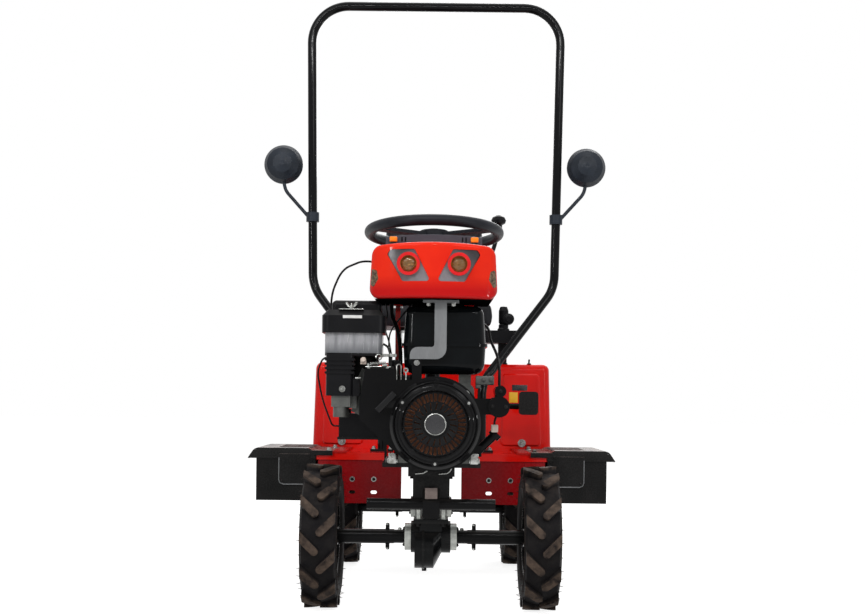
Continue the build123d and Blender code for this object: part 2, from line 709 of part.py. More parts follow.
def lamp_plane():
    half = HOOD_HALF
    bow_radius = (half * half + HOOD_BOW * HOOD_BOW) / (2 * HOOD_BOW)
    return HOOD_FRONT + bow_radius - math.sqrt(bow_radius * bow_radius - LAMP_X * LAMP_X)


def lamp_rings():
    face = lamp_plane()
    ring = rod("y", LAMP_RING, (face - 12, face + 30), (LAMP_X, LAMP_Z))
    ring -= rod("y", LAMP_LENS + SEAT_GAP, (face - 13, face + 31), (LAMP_X, LAMP_Z))
    outer = hood_form(3 - SEAT_GAP)
    stem = rod("y", LAMP_RING - 6 - SEAT_GAP, (face - 13, face + 31), (LAMP_X, LAMP_Z))
    collar = ring - outer
    return both(collar + (ring & stem))


def headlamps():
    face = lamp_plane()
    lens = rod("y", LAMP_LENS, (face - 8, face + 30), (LAMP_X, LAMP_Z))
    return both(fillet(lens.edges().sort_by(Axis.Y)[0], 5))


def corner_lamps():
    return both(hood_inlay(corner_sketch(), 0, HOOD_WALL + 2))


def dash():
    edge = HOOD_TOP_HALF - 30
    low = HOOD_TOP - HOOD_CROWN
    skirt = Polyline((edge, HOOD_TOP + 15), (edge, low), (-edge, low), (-edge, HOOD_TOP + 15))
    arch = ThreePointArc((-edge, HOOD_TOP + 15), (0, HOOD_TOP + DASH_LIP), (edge, HOOD_TOP + 15))
    cowl = front_plate(make_face(skirt + arch), (HOOD_REAR - 75, HOOD_REAR - 30))
    pod = outline([
        (20 - edge, low),
        (edge - 20, low),
        (edge - 28, HOOD_TOP + DASH_RISE),
        (28 - edge, HOOD_TOP + DASH_RISE),
    ])
    pod = round_corners(pod, [(edge - 28, HOOD_TOP + DASH_RISE, 12), (28 - edge, HOOD_TOP + DASH_RISE, 12)])
    cowl += front_plate(pod, (HOOD_REAR - 48, HOOD_REAR + 20))
    cowl -= hood_form(-SEAT_GAP)
    cowl += front_plate(hood_front(), (HOOD_REAR, HOOD_REAR + 20))
    return cowl - column_solid(COLUMN_RADIUS + SEAT_GAP)


def indicators():
    lip = HOOD_REAR - 75
    lamp_z = (HOOD_TOP - HOOD_CROWN, HOOD_TOP + 13)
    lamp = bar((HOOD_TOP_HALF - 63, HOOD_TOP_HALF - 41), (lip - 15, lip), lamp_z)
    return both(lamp - hood_form(-SEAT_GAP))


def column_place():
    return Pos(0, WHEEL_CENTRE_Y, WHEEL_CENTRE_Z) * Rot(-WHEEL_TILT, 0, 0)


def column_solid(radius):
    tall = column_place() * rod("z", radius, (SPINE_BOTTOM - WHEEL_CENTRE_Z, -40), (0, 0))
    return tall & bar((-99, 99), (SPINE_FRONT, 0), (SPINE_TOP, WHEEL_CENTRE_Z))


def steering_column():
    column = column_solid(COLUMN_RADIUS)
    foot = WHEEL_CENTRE_Y - (WHEEL_CENTRE_Z - SPINE_TOP) * math.tan(math.radians(WHEEL_TILT))
    column += bar((-42, 42), (foot - 16, foot + 50), (SPINE_TOP, SPINE_TOP + 12))
    return column + column_place() * rod("z", 11, (-45, -8), (0, 0))


def steering_wheel():
    wheel = Torus(WHEEL_RIM, RIM_GRIP)
    wheel += rod("z", 42, (-34, 6), (0, 0))
    for turn in (0, 120, 240):
        spoke = bar((30, WHEEL_RIM), (-17, 17), (-12, -2))
        wheel += Rot(0, 0, turn + 90) * spoke
    wheel -= rod("z", 11 + RUN_GAP, (-40, -7), (0, 0))
    return column_place() * wheel


def hood_legs():
    leg_y = (CLUTCH_REAR - 12, CLUTCH_REAR + 8)
    inner = ENGINE_X + CLUTCH_RADIUS + 2
    leg = bar((inner, inner + 14), leg_y, (BED_TOP, HOOD_BOTTOM - 6))
    leg += bar((inner - 7, inner + 21), (HOOD_REAR - 60, leg_y[1]), (HOOD_BOTTOM - 6, HOOD_BOTTOM))
    return both(leg)


def throttle_linkage():
    z = CRANK_Z + 147
    plate = bar((-180, -104), (BLOCK_FRONT - 40, BLOCK_FRONT - 4), (z, z + 8))
    plate += bar((-120, -110), (BLOCK_FRONT - 30, BLOCK_FRONT - 4), (z, z + 40))
    return plate


def control_cables():
    throttle = tube([
        (-140, HOOD_REAR + 20, 1000),
        (-140, HOOD_REAR + 42, 1000),
        (-205, HOOD_REAR + 30, 1008),
        (-262, HOOD_REAR - 40, 975),
        (-292, HOOD_REAR - 62, 900),
        (-288, HOOD_REAR - 62, 815),
        (-200, HOOD_REAR - 62, 776),
        (-130, HOOD_REAR - 70, 760),
        (-115, BLOCK_FRONT + 50, 720),
        (-115, BLOCK_FRONT - 4, 720),
    ], 3)
    lead = tube([
        (109, CLUTCH_REAR - 2, 830),
        (140, CLUTCH_REAR - 2, 830),
        (160, BLOCK_REAR + 40, 812),
        (164, BLOCK_REAR + 6, 775),
        (182, BLOCK_FRONT + 90, 730),
        (185, BLOCK_FRONT + 30, 690),
        (185, BLOCK_FRONT + 30, CRANK_Z + 106.1),
    ], 4)
    thin = tube([
        (-266, BLOCK_REAR + 60, 525),
        (-288, BLOCK_REAR + 60, 525),
        (-316, BLOCK_REAR + 40, 600),
        (-330, BLOCK_REAR + 20, 680),
        (-312, BLOCK_REAR - 6, 720),
        (-276, BLOCK_REAR, BOWL_BOTTOM - 3.5),
        (-276, CLEANER_FRONT + CLEANER_DEPTH - 8, BOWL_BOTTOM - 3.5),
    ], 2.5)
    return group([throttle, lead, thin])


def rear_frame():
    back = FRAME_REAR
    frame = bar((-SPINE_HALF, SPINE_HALF), (60, back), (SPINE_BOTTOM, SPINE_TOP))
    low = SPINE_BOTTOM - 5 - EAR_GAP
    high = SPINE_TOP + 5 + EAR_GAP
    for z in ((low - EAR_THICKNESS, low), (high, high + EAR_THICKNESS)):
        ear = rod("z", BOSS_RADIUS + 4, z, (0, 0)) + bar((-BOSS_RADIUS - 4, BOSS_RADIUS + 4), (0, 60), z)
        frame += ear - rod("z", PIN_RADIUS + RUN_GAP, (z[0] - 1, z[1] + 1), (0, 0))
    frame += bar((-BOSS_RADIUS - 4, BOSS_RADIUS + 4), (50, 76), (low - EAR_THICKNESS, high + EAR_THICKNESS))
    under = FLOOR_TOP - SHEET
    frame += bar((-FLOOR_HALF + 8, FLOOR_HALF - 8), (64, 94), (SPINE_TOP, under))
    frame += bar((-FLOOR_HALF + 8, FLOOR_HALF - 8), (BODY_FRONT + 4, BODY_FRONT + 36), (SPINE_TOP, under))
    tail_y = (BODY_REAR - 34, BODY_REAR - 2)
    frame += bar((-BODY_HALF + 12, BODY_HALF - 12), tail_y, (SPINE_TOP + 7, FLOOR_TOP))
    frame += bar((-SPINE_HALF, SPINE_HALF), (back - 10, BODY_REAR - 10), (SPINE_TOP - 10, SPINE_TOP + 12))
    return frame


def pivot_pin():
    low = SPINE_BOTTOM - 5 - EAR_GAP - EAR_THICKNESS
    high = SPINE_TOP + 5 + EAR_GAP + EAR_THICKNESS
    return rod("z", PIN_RADIUS, (low, high), (0, 0)) + rod("z", PIN_RADIUS + 8, (low - 12, low), (0, 0))


def tow_hitch():
    face = FRAME_REAR
    hole_y = HITCH_END - HITCH_RADIUS
    bolt_x = SPINE_HALF + 14
    mid = (SPINE_BOTTOM + SPINE_TOP) / 2
    hitch = bar((-bolt_x - 15, bolt_x + 15), (face, face + 12), (mid - 54, SPINE_TOP - 10))
    for z in ((mid - 30, mid - 16), (mid + 10, mid + 24)):
        hitch += bar((-HITCH_RADIUS, HITCH_RADIUS), (face, hole_y), z)
        hitch += rod("z", HITCH_RADIUS, z, (0, hole_y))
    hitch -= rod("z", 10.5, (mid - 60, mid + 60), (0, hole_y))
    for x in (-bolt_x, bolt_x):
        for z in (mid - 40, mid + 10):
            hitch -= rod("y", 6.5, (face - 1, face + 13), (x, z))
    return hitch


def body_shell():
    def form(inset):
        low = FLOOR_TOP - (20 if inset else 0)
        front = outline([
            (inset - BODY_HALF, low),
            (BODY_HALF - inset, low),
            (BODY_HALF - BODY_TAPER - inset, BODY_TOP - inset),
            (inset - BODY_HALF + BODY_TAPER, BODY_TOP - inset),
        ])
        block = front_plate(front, (BODY_FRONT + inset, BODY_REAR - inset))
        top = block.faces().sort_by(Axis.Z)[-1].edges()
        upright = block.edges().filter_by(lambda e: abs(e.tangent_at(0.5).Z) > 0.9)
        return fillet(upright + top, BODY_BEND - inset)

    shell = form(0) - form(SHEET)
    press = outline([
        (BODY_HALF - 177, FLOOR_TOP + 14),
        (BODY_HALF - 34, FLOOR_TOP + 14),
        (BODY_HALF - 34 - BODY_TAPER, BODY_TOP - BODY_BEND - 10),
        (BODY_HALF - 173, BODY_TOP - BODY_BEND - 10),
    ], 14)
    panel = front_plate(press, (BODY_FRONT - PANEL_RAISE, BODY_FRONT))
    panel = chamfer(panel.faces().sort_by(Axis.Y)[0].edges(), PANEL_RAISE - 1)
    return shell + panel + other_side(panel)


def floor_pan():
    y = (FLOOR_FRONT, BODY_FRONT + 30)
    pan = bar((-FLOOR_HALF, FLOOR_HALF), y, (FLOOR_TOP - SHEET, FLOOR_TOP))
    return pan + bar((-FLOOR_HALF, FLOOR_HALF), (y[0], y[0] + SHEET), (FLOOR_TOP - 24, FLOOR_TOP))


def apron():
    y = (FLOOR_FRONT + SHEET, FLOOR_FRONT + 2 * SHEET)
    top = FLOOR_TOP - SHEET
    sheet = bar((APRON_NOTCH, APRON_HALF), y, (top - APRON_DROP, top))
    for x in (APRON_NOTCH + 89, APRON_NOTCH + 159):
        hole = SlotOverall(20, 11)
        sheet -= Pos(x, 0, FLOOR_TOP - 128) * front_plate(hole, (y[0] - 1, y[1] + 1))
    return both(sheet)


def footplates():
    y = (FLOOR_FRONT - 5, BODY_FRONT - 2)
    top = FLOOR_TOP + SHEET
    tread = top + PLATE_STEP
    tab_end = FLOOR_HALF + 12
    mid = SHEET / 2
    # across: bolted tab, raised tread, rolled outer edge
    across = FilletPolyline(
        (PLATE_INNER, top - mid),
        (tab_end, top - mid),
        (tab_end + 16, tread - mid),
        (PLATE_OUTER - 24, tread - mid),
        (PLATE_OUTER - mid, top - PLATE_LIP),
        radius=[8, 8, 22],
    )
    plate = front_plate(trace(across, SHEET), y)
    lip = outline([
        (FLOOR_HALF + 4, top - PLATE_LIP),
        (PLATE_OUTER - 6, top - PLATE_LIP),
        (PLATE_OUTER - 20, tread - 12),
        (PLATE_OUTER - 34, tread - mid),
        (tab_end + 18, tread - mid),
        (tab_end, top - mid),
        (FLOOR_HALF + 4, top - mid),
    ])
    plate += front_plate(lip, (y[0], y[0] + SHEET))
    window_x = (PLATE_INNER + 112, PLATE_OUTER - 93)
    wide = window_x[1] - window_x[0]
    window = RectangleRounded(wide, y[1] - y[0] - 110, min(18, 0.45 * wide))
    window = Pos((window_x[0] + window_x[1]) / 2, (y[0] + y[1]) / 2) * window
    plate -= flat_plate(window, (tread - 2, tread + 1))
    splash_y = (y[0] + SHEET, y[0] + 2 * SHEET)
    plate += bar((FLOOR_HALF + 4, SPLASH_OUTER), splash_y, (SPLASH_BOTTOM, FLOOR_TOP + 1))
    panel = outline([
        (FLOOR_HALF + 14, FLOOR_TOP - 96),
        (SPLASH_OUTER - 72, FLOOR_TOP - 96),
        (SPLASH_OUTER - 72, top - PLATE_LIP),
        (FLOOR_HALF + 14, top - PLATE_LIP),
    ])
    bend = min(18, 0.9 * (SPLASH_OUTER - FLOOR_HALF - 86))
    panel = round_corners(panel, [(SPLASH_OUTER - 72, FLOOR_TOP - 96, bend)])
    plate += front_plate(panel, (splash_y[0] - 4, splash_y[0]))
    return both(plate)


def roll_bar():
    top = HOOP_TOP - HOOP_TUBE
    left = [
        (HOOP_FOOT_HALF, HOOP_FOOT_Y, FLOOR_TOP),
        (HOOP_FOOT_HALF, HOOP_FOOT_Y, HOOP_KNEE),
        (HOOP_WAIST_HALF, HOOP_Y, HOOP_WAIST),
        (HOOP_HALF, HOOP_Y, top),
    ]
    right = [(-x, y, z) for x, y, z in reversed(left)]
    path = FilletPolyline(*left, *right, radius=[110, 130, 125, 125, 130, 110])
    hoop = sweep(Plane(path @ 0, z_dir=path % 0) * Circle(HOOP_TUBE), path=path)
    for side in (-1, 1):
        x = side * HOOP_FOOT_HALF
        hoop += bar((x - 38, x + 38), (HOOP_FOOT_Y - 30, HOOP_FOOT_Y + 30), (FLOOR_TOP, FLOOR_TOP + 8))
    return hoop


def mirrors():
    climb = (CLAMP_Z - HOOP_WAIST) / (HOOP_TOP - HOOP_WAIST)
    leg_x = HOOP_WAIST_HALF + climb * (HOOP_HALF - HOOP_WAIST_HALF)
    stalk = tube([
        (leg_x + HOOP_TUBE - 2, HOOP_Y, CLAMP_Z),
        (MIRROR_X - 8, HOOP_Y, CLAMP_Z + MIRROR_RISE / 2),
        (MIRROR_X, HOOP_Y, MIRROR_Z - MIRROR_RADIUS + 14),
    ], 6)
    clamp = rod("z", HOOP_TUBE + 7, (CLAMP_Z - 16, CLAMP_Z + 16), (leg_x, HOOP_Y))
    hoop_leg = roll_bar_leg(HOOP_TUBE + SEAT_GAP)
    dish = outline([(0, -46), (32, -40), (54, -24), (MIRROR_RADIUS, 0), (MIRROR_RADIUS, 6), (0, 6)])
    shell = Pos(MIRROR_X, HOOP_Y, MIRROR_Z) * revolve(dish, axis=Axis.Y)
    return both(clamp + stalk + shell - hoop_leg)


def roll_bar_leg(radius):
    low = Vector(HOOP_WAIST_HALF, HOOP_Y, HOOP_WAIST)
    high = Vector(HOOP_HALF, HOOP_Y, HOOP_TOP - HOOP_TUBE)
    return extrude(Plane(low, z_dir=high - low) * Circle(radius), amount=700)


def mirror_glass():
    return both(rod("y", MIRROR_RADIUS - 4, (HOOP_Y + 6, HOOP_Y + 9), (MIRROR_X, MIRROR_Z)))


def seat_base():
    half = SEAT_BASE_HALF
    y = (BODY_FRONT + BODY_BEND + 6, SEAT_FRONT + SEAT_LENGTH - 50)
    base = bar((-half, half), y, (SEAT_BOTTOM - 10, SEAT_BOTTOM))
    for x in ((-half, 16 - half), (half - 16, half)):
        base += bar(x, y, (BODY_TOP, SEAT_BOTTOM))
    return base


def seat_cushion():
    y = (SEAT_FRONT, SEAT_FRONT + SEAT_LENGTH)
    return soft_block((-SEAT_HALF, SEAT_HALF), y, (SEAT_BOTTOM, SEAT_TOP), 30)


def seat_back():
    front = outline([
        (-SEAT_HALF, SEAT_TOP),
        (SEAT_HALF, SEAT_TOP),
        (BACK_TOP_HALF, SEAT_TOP + BACK_HEIGHT),
        (-BACK_TOP_HALF, SEAT_TOP + BACK_HEIGHT),
    ], 40)
    rear = SEAT_FRONT + SEAT_LENGTH
    back = front_plate(front, (rear - 30, rear - 30 + BACK_THICKNESS))
    back = fillet(back.edges(), 14)
    hook_y = rear - 30 + BACK_THICKNESS - 34
    hook = bar((-60, 60), (hook_y, hook_y + 18), (SEAT_BOTTOM + 20, SEAT_TOP + 40))
    arm = bar((-60, 60), (rear, rear - 30 + BACK_THICKNESS - 16), (SEAT_BOTTOM + 20, SEAT_BOTTOM + 40))
    return back + hook + arm


def gear_lever():
    lever = tube([
        (96, 160, FLOOR_TOP),
        (96, 160, FLOOR_TOP + 60),
        (134, 130, FLOOR_TOP + 470),
        (205, 84, FLOOR_TOP + 700),
        (214, 80, FLOOR_TOP + 750),
    ], 7)
    knob = outline([(0, 0), (12, 0), (12, 12), (22, 18), (25, 28), (20, 38), (9, 44), (0, 44)])
    lever += Pos(214, 80, FLOOR_TOP + 744) * revolve(Plane.XZ * knob, axis=Axis.Z)
    return lever + rod("z", 26, (FLOOR_TOP, FLOOR_TOP + 14), (96, 160))


def control_console():
    outer = SEAT_HALF + CONSOLE_REACH
    foot = BODY_FRONT + BODY_BEND + 6
    deck = BODY_TOP + 115
    side = outline([
        (SEAT_BASE_HALF, deck - 44),
        (outer - 30, deck - 44),
        (outer, deck - 14),
        (outer, deck),
        (SEAT_BASE_HALF, deck),
    ])
    box = front_plate(side, (foot - 66, foot + 40))
    box += bar((outer - 69, outer - 39), (foot, foot + 30), (BODY_TOP, deck - 20))
    boot = outline([
        (0, 0), (21, 0), (21, 6), (17, 10), (17, 20), (14, 24), (17, 28), (17, 70), (12, 84), (0, 87),
    ])
    box += Pos(outer - 53, foot - 30, deck) * revolve(Plane.XZ * boot, axis=Axis.Z)
    switch = outline([(0, -44), (9, -44), (9, -38), (19, -36), (20, 0), (0, 0)])
    return box + Pos(outer - 37, foot - 30, deck + 40) * revolve(switch, axis=Axis.Y)


def brake_pedal():
    arm = tube([
        (172, 170, FLOOR_TOP),
        (172, 170, FLOOR_TOP + 154),
        (300, 140, FLOOR_TOP + 154),
        (322, 116, FLOOR_TOP + 160),
    ], 10, 0.3)
    pad = bar((290, 355), (102, 116), (FLOOR_TOP + 126, FLOOR_TOP + 204))
    pedal = arm + fillet(pad.edges().filter_by(Axis.Y), 12)
    return pedal + rod("z", 24, (FLOOR_TOP, FLOOR_TOP + 10), (172, 170))


def tail_lamps():
    return both(rod("y", 32, (BODY_REAR, BODY_REAR + 18), (BODY_HALF - 75, BODY_TOP - 110)))


SINGLES = {
    "front_frame": front_frame,
    "front_bumper": front_bumper,
    "engine_block": engine_block,
    "fan_shroud": fan_shroud,
    "recoil_cover": recoil_cover,
    "recoil_screen": recoil_screen,
    "clutch_housing": clutch_housing,
    "fuel_tank": fuel_tank,
    "fuel_cap": fuel_cap,
    "tank_strap": tank_strap,
    "air_cleaner_base": air_cleaner_base,
    "air_cleaner_bowl": air_cleaner_bowl,
    "air_cleaner_cap": air_cleaner_cap,
    "carburettor": carburettor,
    "starter_motor": starter_motor,
    "oil_filler": oil_filler,
    "muffler": muffler,
    "battery": battery,
    "hood": hood,
    "lamp_panels": lamp_panels,
    "lamp_rings": lamp_rings,
    "headlamps": headlamps,
    "corner_lamps": corner_lamps,
    "dash": dash,
    "indicators": indicators,
    "steering_column": steering_column,
    "steering_wheel": steering_wheel,
    "hood_legs": hood_legs,
    "throttle_linkage": throttle_linkage,
    "control_cables": control_cables,
    "rear_frame": rear_frame,
    "pivot_pin": pivot_pin,
    "tow_hitch": tow_hitch,
    "body_shell": body_shell,
    "floor_pan": floor_pan,
    "apron": apron,
    "footplates": footplates,
    "roll_bar": roll_bar,
    "mirrors": mirrors,
    "mirror_glass": mirror_glass,
    "seat_base": seat_base,
    "seat_cushion": seat_cushion,
    "seat_back": seat_back,
    "gear_lever": gear_lever,
    "control_console": control_console,
    "brake_pedal": brake_pedal,
    "tail_lamps": tail_lamps,
}

os.makedirs("parts", exist_ok=True)


def write(name, shape):
    export_step(shape, f"parts/{name}.step")


for name, make in SINGLES.items():
    write(name, make())

write("front_gearbox", gearbox(FRONT_AXLE_Y, -1))
write("rear_gearbox", gearbox(REAR_AXLE_Y, 1))
write("front_gearbox_fittings", gearbox_fittings(FRONT_AXLE_Y))
write("rear_gearbox_fittings", gearbox_fittings(REAR_AXLE_Y))

one_tyre = tyre()
one_hub = axle() + Pos(TRACK / 2, 0, 0) * rim()
for end, y in (("front", FRONT_AXLE_Y), ("rear", REAR_AXLE_Y)):
    hub = Pos(0, y, AXLE_Z) * one_hub
    shoe = Pos(TRACK / 2, y, AXLE_Z) * one_tyre
    write(f"tyre_{end}_left", shoe)
    write(f"tyre_{end}_right", other_side(shoe))
    write(f"rim_{end}_left", hub)
    write(f"rim_{end}_right", other_side(hub))
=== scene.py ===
import json
import math
import bpy
import bmesh
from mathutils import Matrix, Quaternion, Vector


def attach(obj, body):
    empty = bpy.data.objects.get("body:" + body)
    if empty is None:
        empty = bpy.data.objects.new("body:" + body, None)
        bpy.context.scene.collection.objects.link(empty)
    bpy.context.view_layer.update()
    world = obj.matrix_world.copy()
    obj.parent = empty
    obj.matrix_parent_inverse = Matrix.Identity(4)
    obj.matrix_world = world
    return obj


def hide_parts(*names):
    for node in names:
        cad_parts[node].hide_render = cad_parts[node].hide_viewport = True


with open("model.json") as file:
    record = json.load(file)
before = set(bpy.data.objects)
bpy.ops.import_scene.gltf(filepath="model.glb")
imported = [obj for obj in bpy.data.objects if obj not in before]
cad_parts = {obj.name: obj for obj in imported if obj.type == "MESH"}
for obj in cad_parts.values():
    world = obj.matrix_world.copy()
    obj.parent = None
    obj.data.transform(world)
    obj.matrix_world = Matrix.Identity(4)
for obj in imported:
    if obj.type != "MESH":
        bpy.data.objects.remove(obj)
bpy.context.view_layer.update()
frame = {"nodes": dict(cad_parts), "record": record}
scene = bpy.context.scene
nodes = frame["nodes"]
mm = 0.001
axles = {"front": -480, "rear": 570}
axleHeight = 207
print("frame loaded:", len(nodes), "nodes")


def hexColour(text, alpha=1.0):
    # sRGB hex to linear
    parts = [int(text[i:i + 2], 16) / 255 for i in (1, 3, 5)]
    return tuple(c / 12.92 if c <= 0.04045 else ((c + 0.055) / 1.055) ** 2.4 for c in parts) + (alpha,)


def addNode(tree, kind, settings=None, inputs=None):
    # one node; a tuple (node, socket) is linked, anything else is set
    made = tree.nodes.new(kind)
    for key, value in (settings or {}).items():
        setattr(made, key, value)
    for key, value in (inputs or {}).items():
        if isinstance(value, tuple) and isinstance(value[0], bpy.types.Node):
            tree.links.new(value[0].outputs[value[1]], made.inputs[key])
        else:
            made.inputs[key].default_value = value
    return made


def finish(look):
    # colour and tint are mottled by blotch, roughness and relief come from grain, sizes in mm
    # dust lies on faces that look up, faces that look down are darkened with painted shade
    # wear shows on outer edges, dirt marks the tyre's lug tops
    # fade runs between two distances, measured outward from the middle and upward, each by its share
    # shine, ior, metal and clear are set straight on the shader
    mat = bpy.data.materials.new(look["name"])
    mat.use_nodes = True
    tree = mat.node_tree
    tree.nodes.clear()
    place = addNode(tree, "ShaderNodeTexCoord")
    drawn = addNode(tree, "ShaderNodeMapping", {}, {
        "Vector": (place, "Object"), "Scale": look.get("stretch", (1, 1, 1))})
    blotch = addNode(tree, "ShaderNodeTexNoise", {}, {
        "Vector": (drawn, "Vector"), "Scale": 1000 / look["blotch"], "Detail": 4.0, "Roughness": 0.6})
    grain = addNode(tree, "ShaderNodeTexNoise", {}, {
        "Vector": (drawn, "Vector"), "Scale": 1000 / look["grain"], "Detail": 3.0})
    mottle = addNode(tree, "ShaderNodeMapRange", {}, {
        "Value": (blotch, "Fac"), "From Min": 0.35, "From Max": 0.65})
    mixed = addNode(tree, "ShaderNodeMix", {"data_type": "RGBA"}, {
        0: (mottle, "Result"), 6: hexColour(look["colour"]), 7: hexColour(look["tint"])})
    surface = addNode(tree, "ShaderNodeNewGeometry")
    layers = []
    if "dust" in look:
        dustColour, dustAmount = look["dust"]
        facing = addNode(tree, "ShaderNodeSeparateXYZ", {}, {"Vector": (surface, "Normal")})
        lying = addNode(tree, "ShaderNodeMapRange", {}, {
            "Value": (facing, "Z"), "From Min": 0.35, "From Max": 0.95, "To Max": dustAmount})
        patchy = addNode(tree, "ShaderNodeMath", {"operation": "MULTIPLY"}, {
            0: (lying, "Result"), 1: (mottle, "Result")})
        layers.append(((patchy, "Value"), dustColour))
    # painted shade: faces that look down take a darker colour
    if "under" in look:
        below = addNode(tree, "ShaderNodeSeparateXYZ", {}, {"Vector": (surface, "Normal")})
        shadedBelow = addNode(tree, "ShaderNodeMapRange", {}, {
            "Value": (below, "Z"), "From Min": -0.9, "From Max": -0.6, "To Min": 1.0, "To Max": 0.0})
        layers.append(((shadedBelow, "Result"), look["under"]))
    if "fade" in look:
        fadeColour, outward, upward, start, stop = look["fade"]
        spot = addNode(tree, "ShaderNodeSeparateXYZ", {}, {"Vector": (place, "Object")})
        away = addNode(tree, "ShaderNodeMath", {"operation": "ABSOLUTE"}, {0: (spot, "X")})
        across = addNode(tree, "ShaderNodeMath", {"operation": "MULTIPLY"}, {0: (away, "Value"), 1: outward})
        along = addNode(tree, "ShaderNodeMath", {"operation": "MULTIPLY_ADD"}, {
            0: (spot, "Z"), 1: upward, 2: (across, "Value")})
        faded = addNode(tree, "ShaderNodeMapRange", {}, {
            "Value": (along, "Value"), "From Min": start * mm, "From Max": stop * mm})
        layers.append(((faded, "Result"), fadeColour))
    if "wear" in look:
        wearColour, wearAmount = look["wear"]
        edge = addNode(tree, "ShaderNodeMapRange", {}, {
            "Value": (surface, "Pointiness"), "From Min": 0.53, "From Max": 0.6, "To Max": wearAmount})
        rubbed = addNode(tree, "ShaderNodeMath", {"operation": "MULTIPLY"}, {
            0: (edge, "Result"), 1: (grain, "Fac")})
        layers.append(((rubbed, "Value"), wearColour))
    if "dirt" in look:
        dirtColour, axle, inner, outer = look["dirt"]
        spoke = addNode(tree, "ShaderNodeVectorMath", {"operation": "SUBTRACT"}, {
            0: (place, "Object"), 1: axle})
        flat = addNode(tree, "ShaderNodeVectorMath", {"operation": "MULTIPLY"}, {
            0: (spoke, "Vector"), 1: (0, 1, 1)})
        reach = addNode(tree, "ShaderNodeVectorMath", {"operation": "LENGTH"}, {0: (flat, "Vector")})
        rolled = addNode(tree, "ShaderNodeMapRange", {}, {
            "Value": (reach, "Value"), "From Min": inner * mm, "From Max": outer * mm, "To Max": 0.95})
        scuffed = addNode(tree, "ShaderNodeMath", {"operation": "MULTIPLY"}, {
            0: (rolled, "Result"), 1: (mottle, "Result")})
        layers.append(((scuffed, "Value"), dirtColour))
    for share, layer in layers:
        mixed = addNode(tree, "ShaderNodeMix", {"data_type": "RGBA"}, {
            0: share, 6: (mixed, 2), 7: hexColour(layer)})
    low, high = look["rough"]
    rough = addNode(tree, "ShaderNodeMapRange", {}, {
        "Value": (grain, "Fac"), "From Min": 0.3, "From Max": 0.7, "To Min": low, "To Max": high})
    height = (grain, "Fac")
    if "pebble" in look:
        cells = addNode(tree, "ShaderNodeTexVoronoi", {"feature": "DISTANCE_TO_EDGE"}, {
            "Vector": (place, "Object"), "Scale": 1000 / look["pebble"]})
        crease = addNode(tree, "ShaderNodeMapRange", {}, {
            "Value": (cells, "Distance"), "From Max": 0.25})
        height = (crease, "Result")
    bump = addNode(tree, "ShaderNodeBump", {}, {
        "Height": height, "Strength": look.get("strength", 0.4), "Distance": look["depth"] * mm})
    sockets = {
        "shine": "Specular IOR Level", "ior": "IOR", "metal": "Metallic", "clear": "Transmission Weight"}
    shader = addNode(tree, "ShaderNodeBsdfPrincipled", {}, {
        "Base Color": (mixed, 2), "Roughness": (rough, "Result"), "Normal": (bump, "Normal"),
        **{socket: look[key] for key, socket in sockets.items() if key in look}})
    addNode(tree, "ShaderNodeOutputMaterial", {}, {"Surface": (shader, "BSDF")})
    return mat


# red enamel sprayed on pressed steel: wet gloss, faint orange peel; faces that look down get a painted shade
# of dark red
redEnamel = finish({
    "name": "redEnamelOnSteel", "colour": "#cf120d", "tint": "#d81a10", "blotch": 260, "grain": 9,
    "depth": 0.05, "strength": 0.2, "rough": (0.07, 0.13), "under": "#2a0504", "shine": 0.14, "ior": 1.5})
# the hood's red is a warmer batch; the darker red along its lower edge is painted shade, and its underside is
# painted near black as shade
hoodEnamel = finish({
    "name": "redEnamelOnHood", "colour": "#d6210d", "tint": "#de2a10", "blotch": 220, "grain": 9,
    "depth": 0.05, "strength": 0.2, "rough": (0.03, 0.06), "under": "#0c0908",
    "fade": ("#b30d0d", 0, 1, 938, 898), "shine": 0.1, "ior": 1.5})
# apron: red darkened with painted shade, a little less dark towards its outer ends
apronPaintedShade = finish({
    "name": "thinRedOverPrimer", "colour": "#6e060c", "tint": "#7c070e", "blotch": 120, "grain": 9,
    "depth": 0.06, "strength": 0.2, "rough": (0.22, 0.32), "fade": ("#8e0a10", 1, 0, 200, 300),
    "shine": 0.14, "ior": 1.5})
# black enamel brushed on welded steel: semi-gloss with dust on the flats and rubbed edges
blackEnamel = finish({
    "name": "blackEnamelOnSteel", "colour": "#0a0a0b", "tint": "#101011", "blotch": 120, "grain": 6,
    "depth": 0.15, "rough": (0.16, 0.28), "dust": ("#4d4a47", 0.35), "wear": ("#3c3b3a", 0.5),
    "shine": 0.07, "ior": 1.5})
# black enamel on the foot plates: flats grey-brown with trodden dust, red lapped over the tabs' ends
footEnamel = finish({
    "name": "trodBlackEnamel", "colour": "#121212", "tint": "#1b1a1a", "blotch": 60, "grain": 5,
    "depth": 0.15, "rough": (0.2, 0.34), "dust": ("#a8968f", 1.0), "fade": ("#c2140f", 1, 0, 320, 318),
    "wear": ("#3c3b3a", 0.5), "shine": 0.08, "ior": 1.5})
# black enamel sprayed on the roll hoop's tube: long clean highlights
hoopEnamel = finish({
    "name": "blackEnamelOnTube", "colour": "#08080a", "tint": "#0e0e10", "blotch": 200, "grain": 9,
    "depth": 0.08, "rough": (0.07, 0.12), "shine": 0.1, "ior": 1.5})
# stoved black gloss on the engine's tinware: deep, with hard thin highlights
stovedBlack = finish({
    "name": "stovedBlackTinware", "colour": "#0a0a0b", "tint": "#0f0f10", "blotch": 150, "grain": 9,
    "depth": 0.1, "rough": (0.05, 0.09), "dust": ("#3d3c3b", 0.25), "shine": 0.075, "ior": 1.5})
# blow-moulded tank: waxy gloss, slightly wavy skin
tankPlastic = finish({
    "name": "blowMouldedPolyethylene", "colour": "#080a0c", "tint": "#0c0f11", "blotch": 90, "grain": 22,
    "depth": 0.35, "rough": (0.05, 0.08), "shine": 0.07, "ior": 1.51})
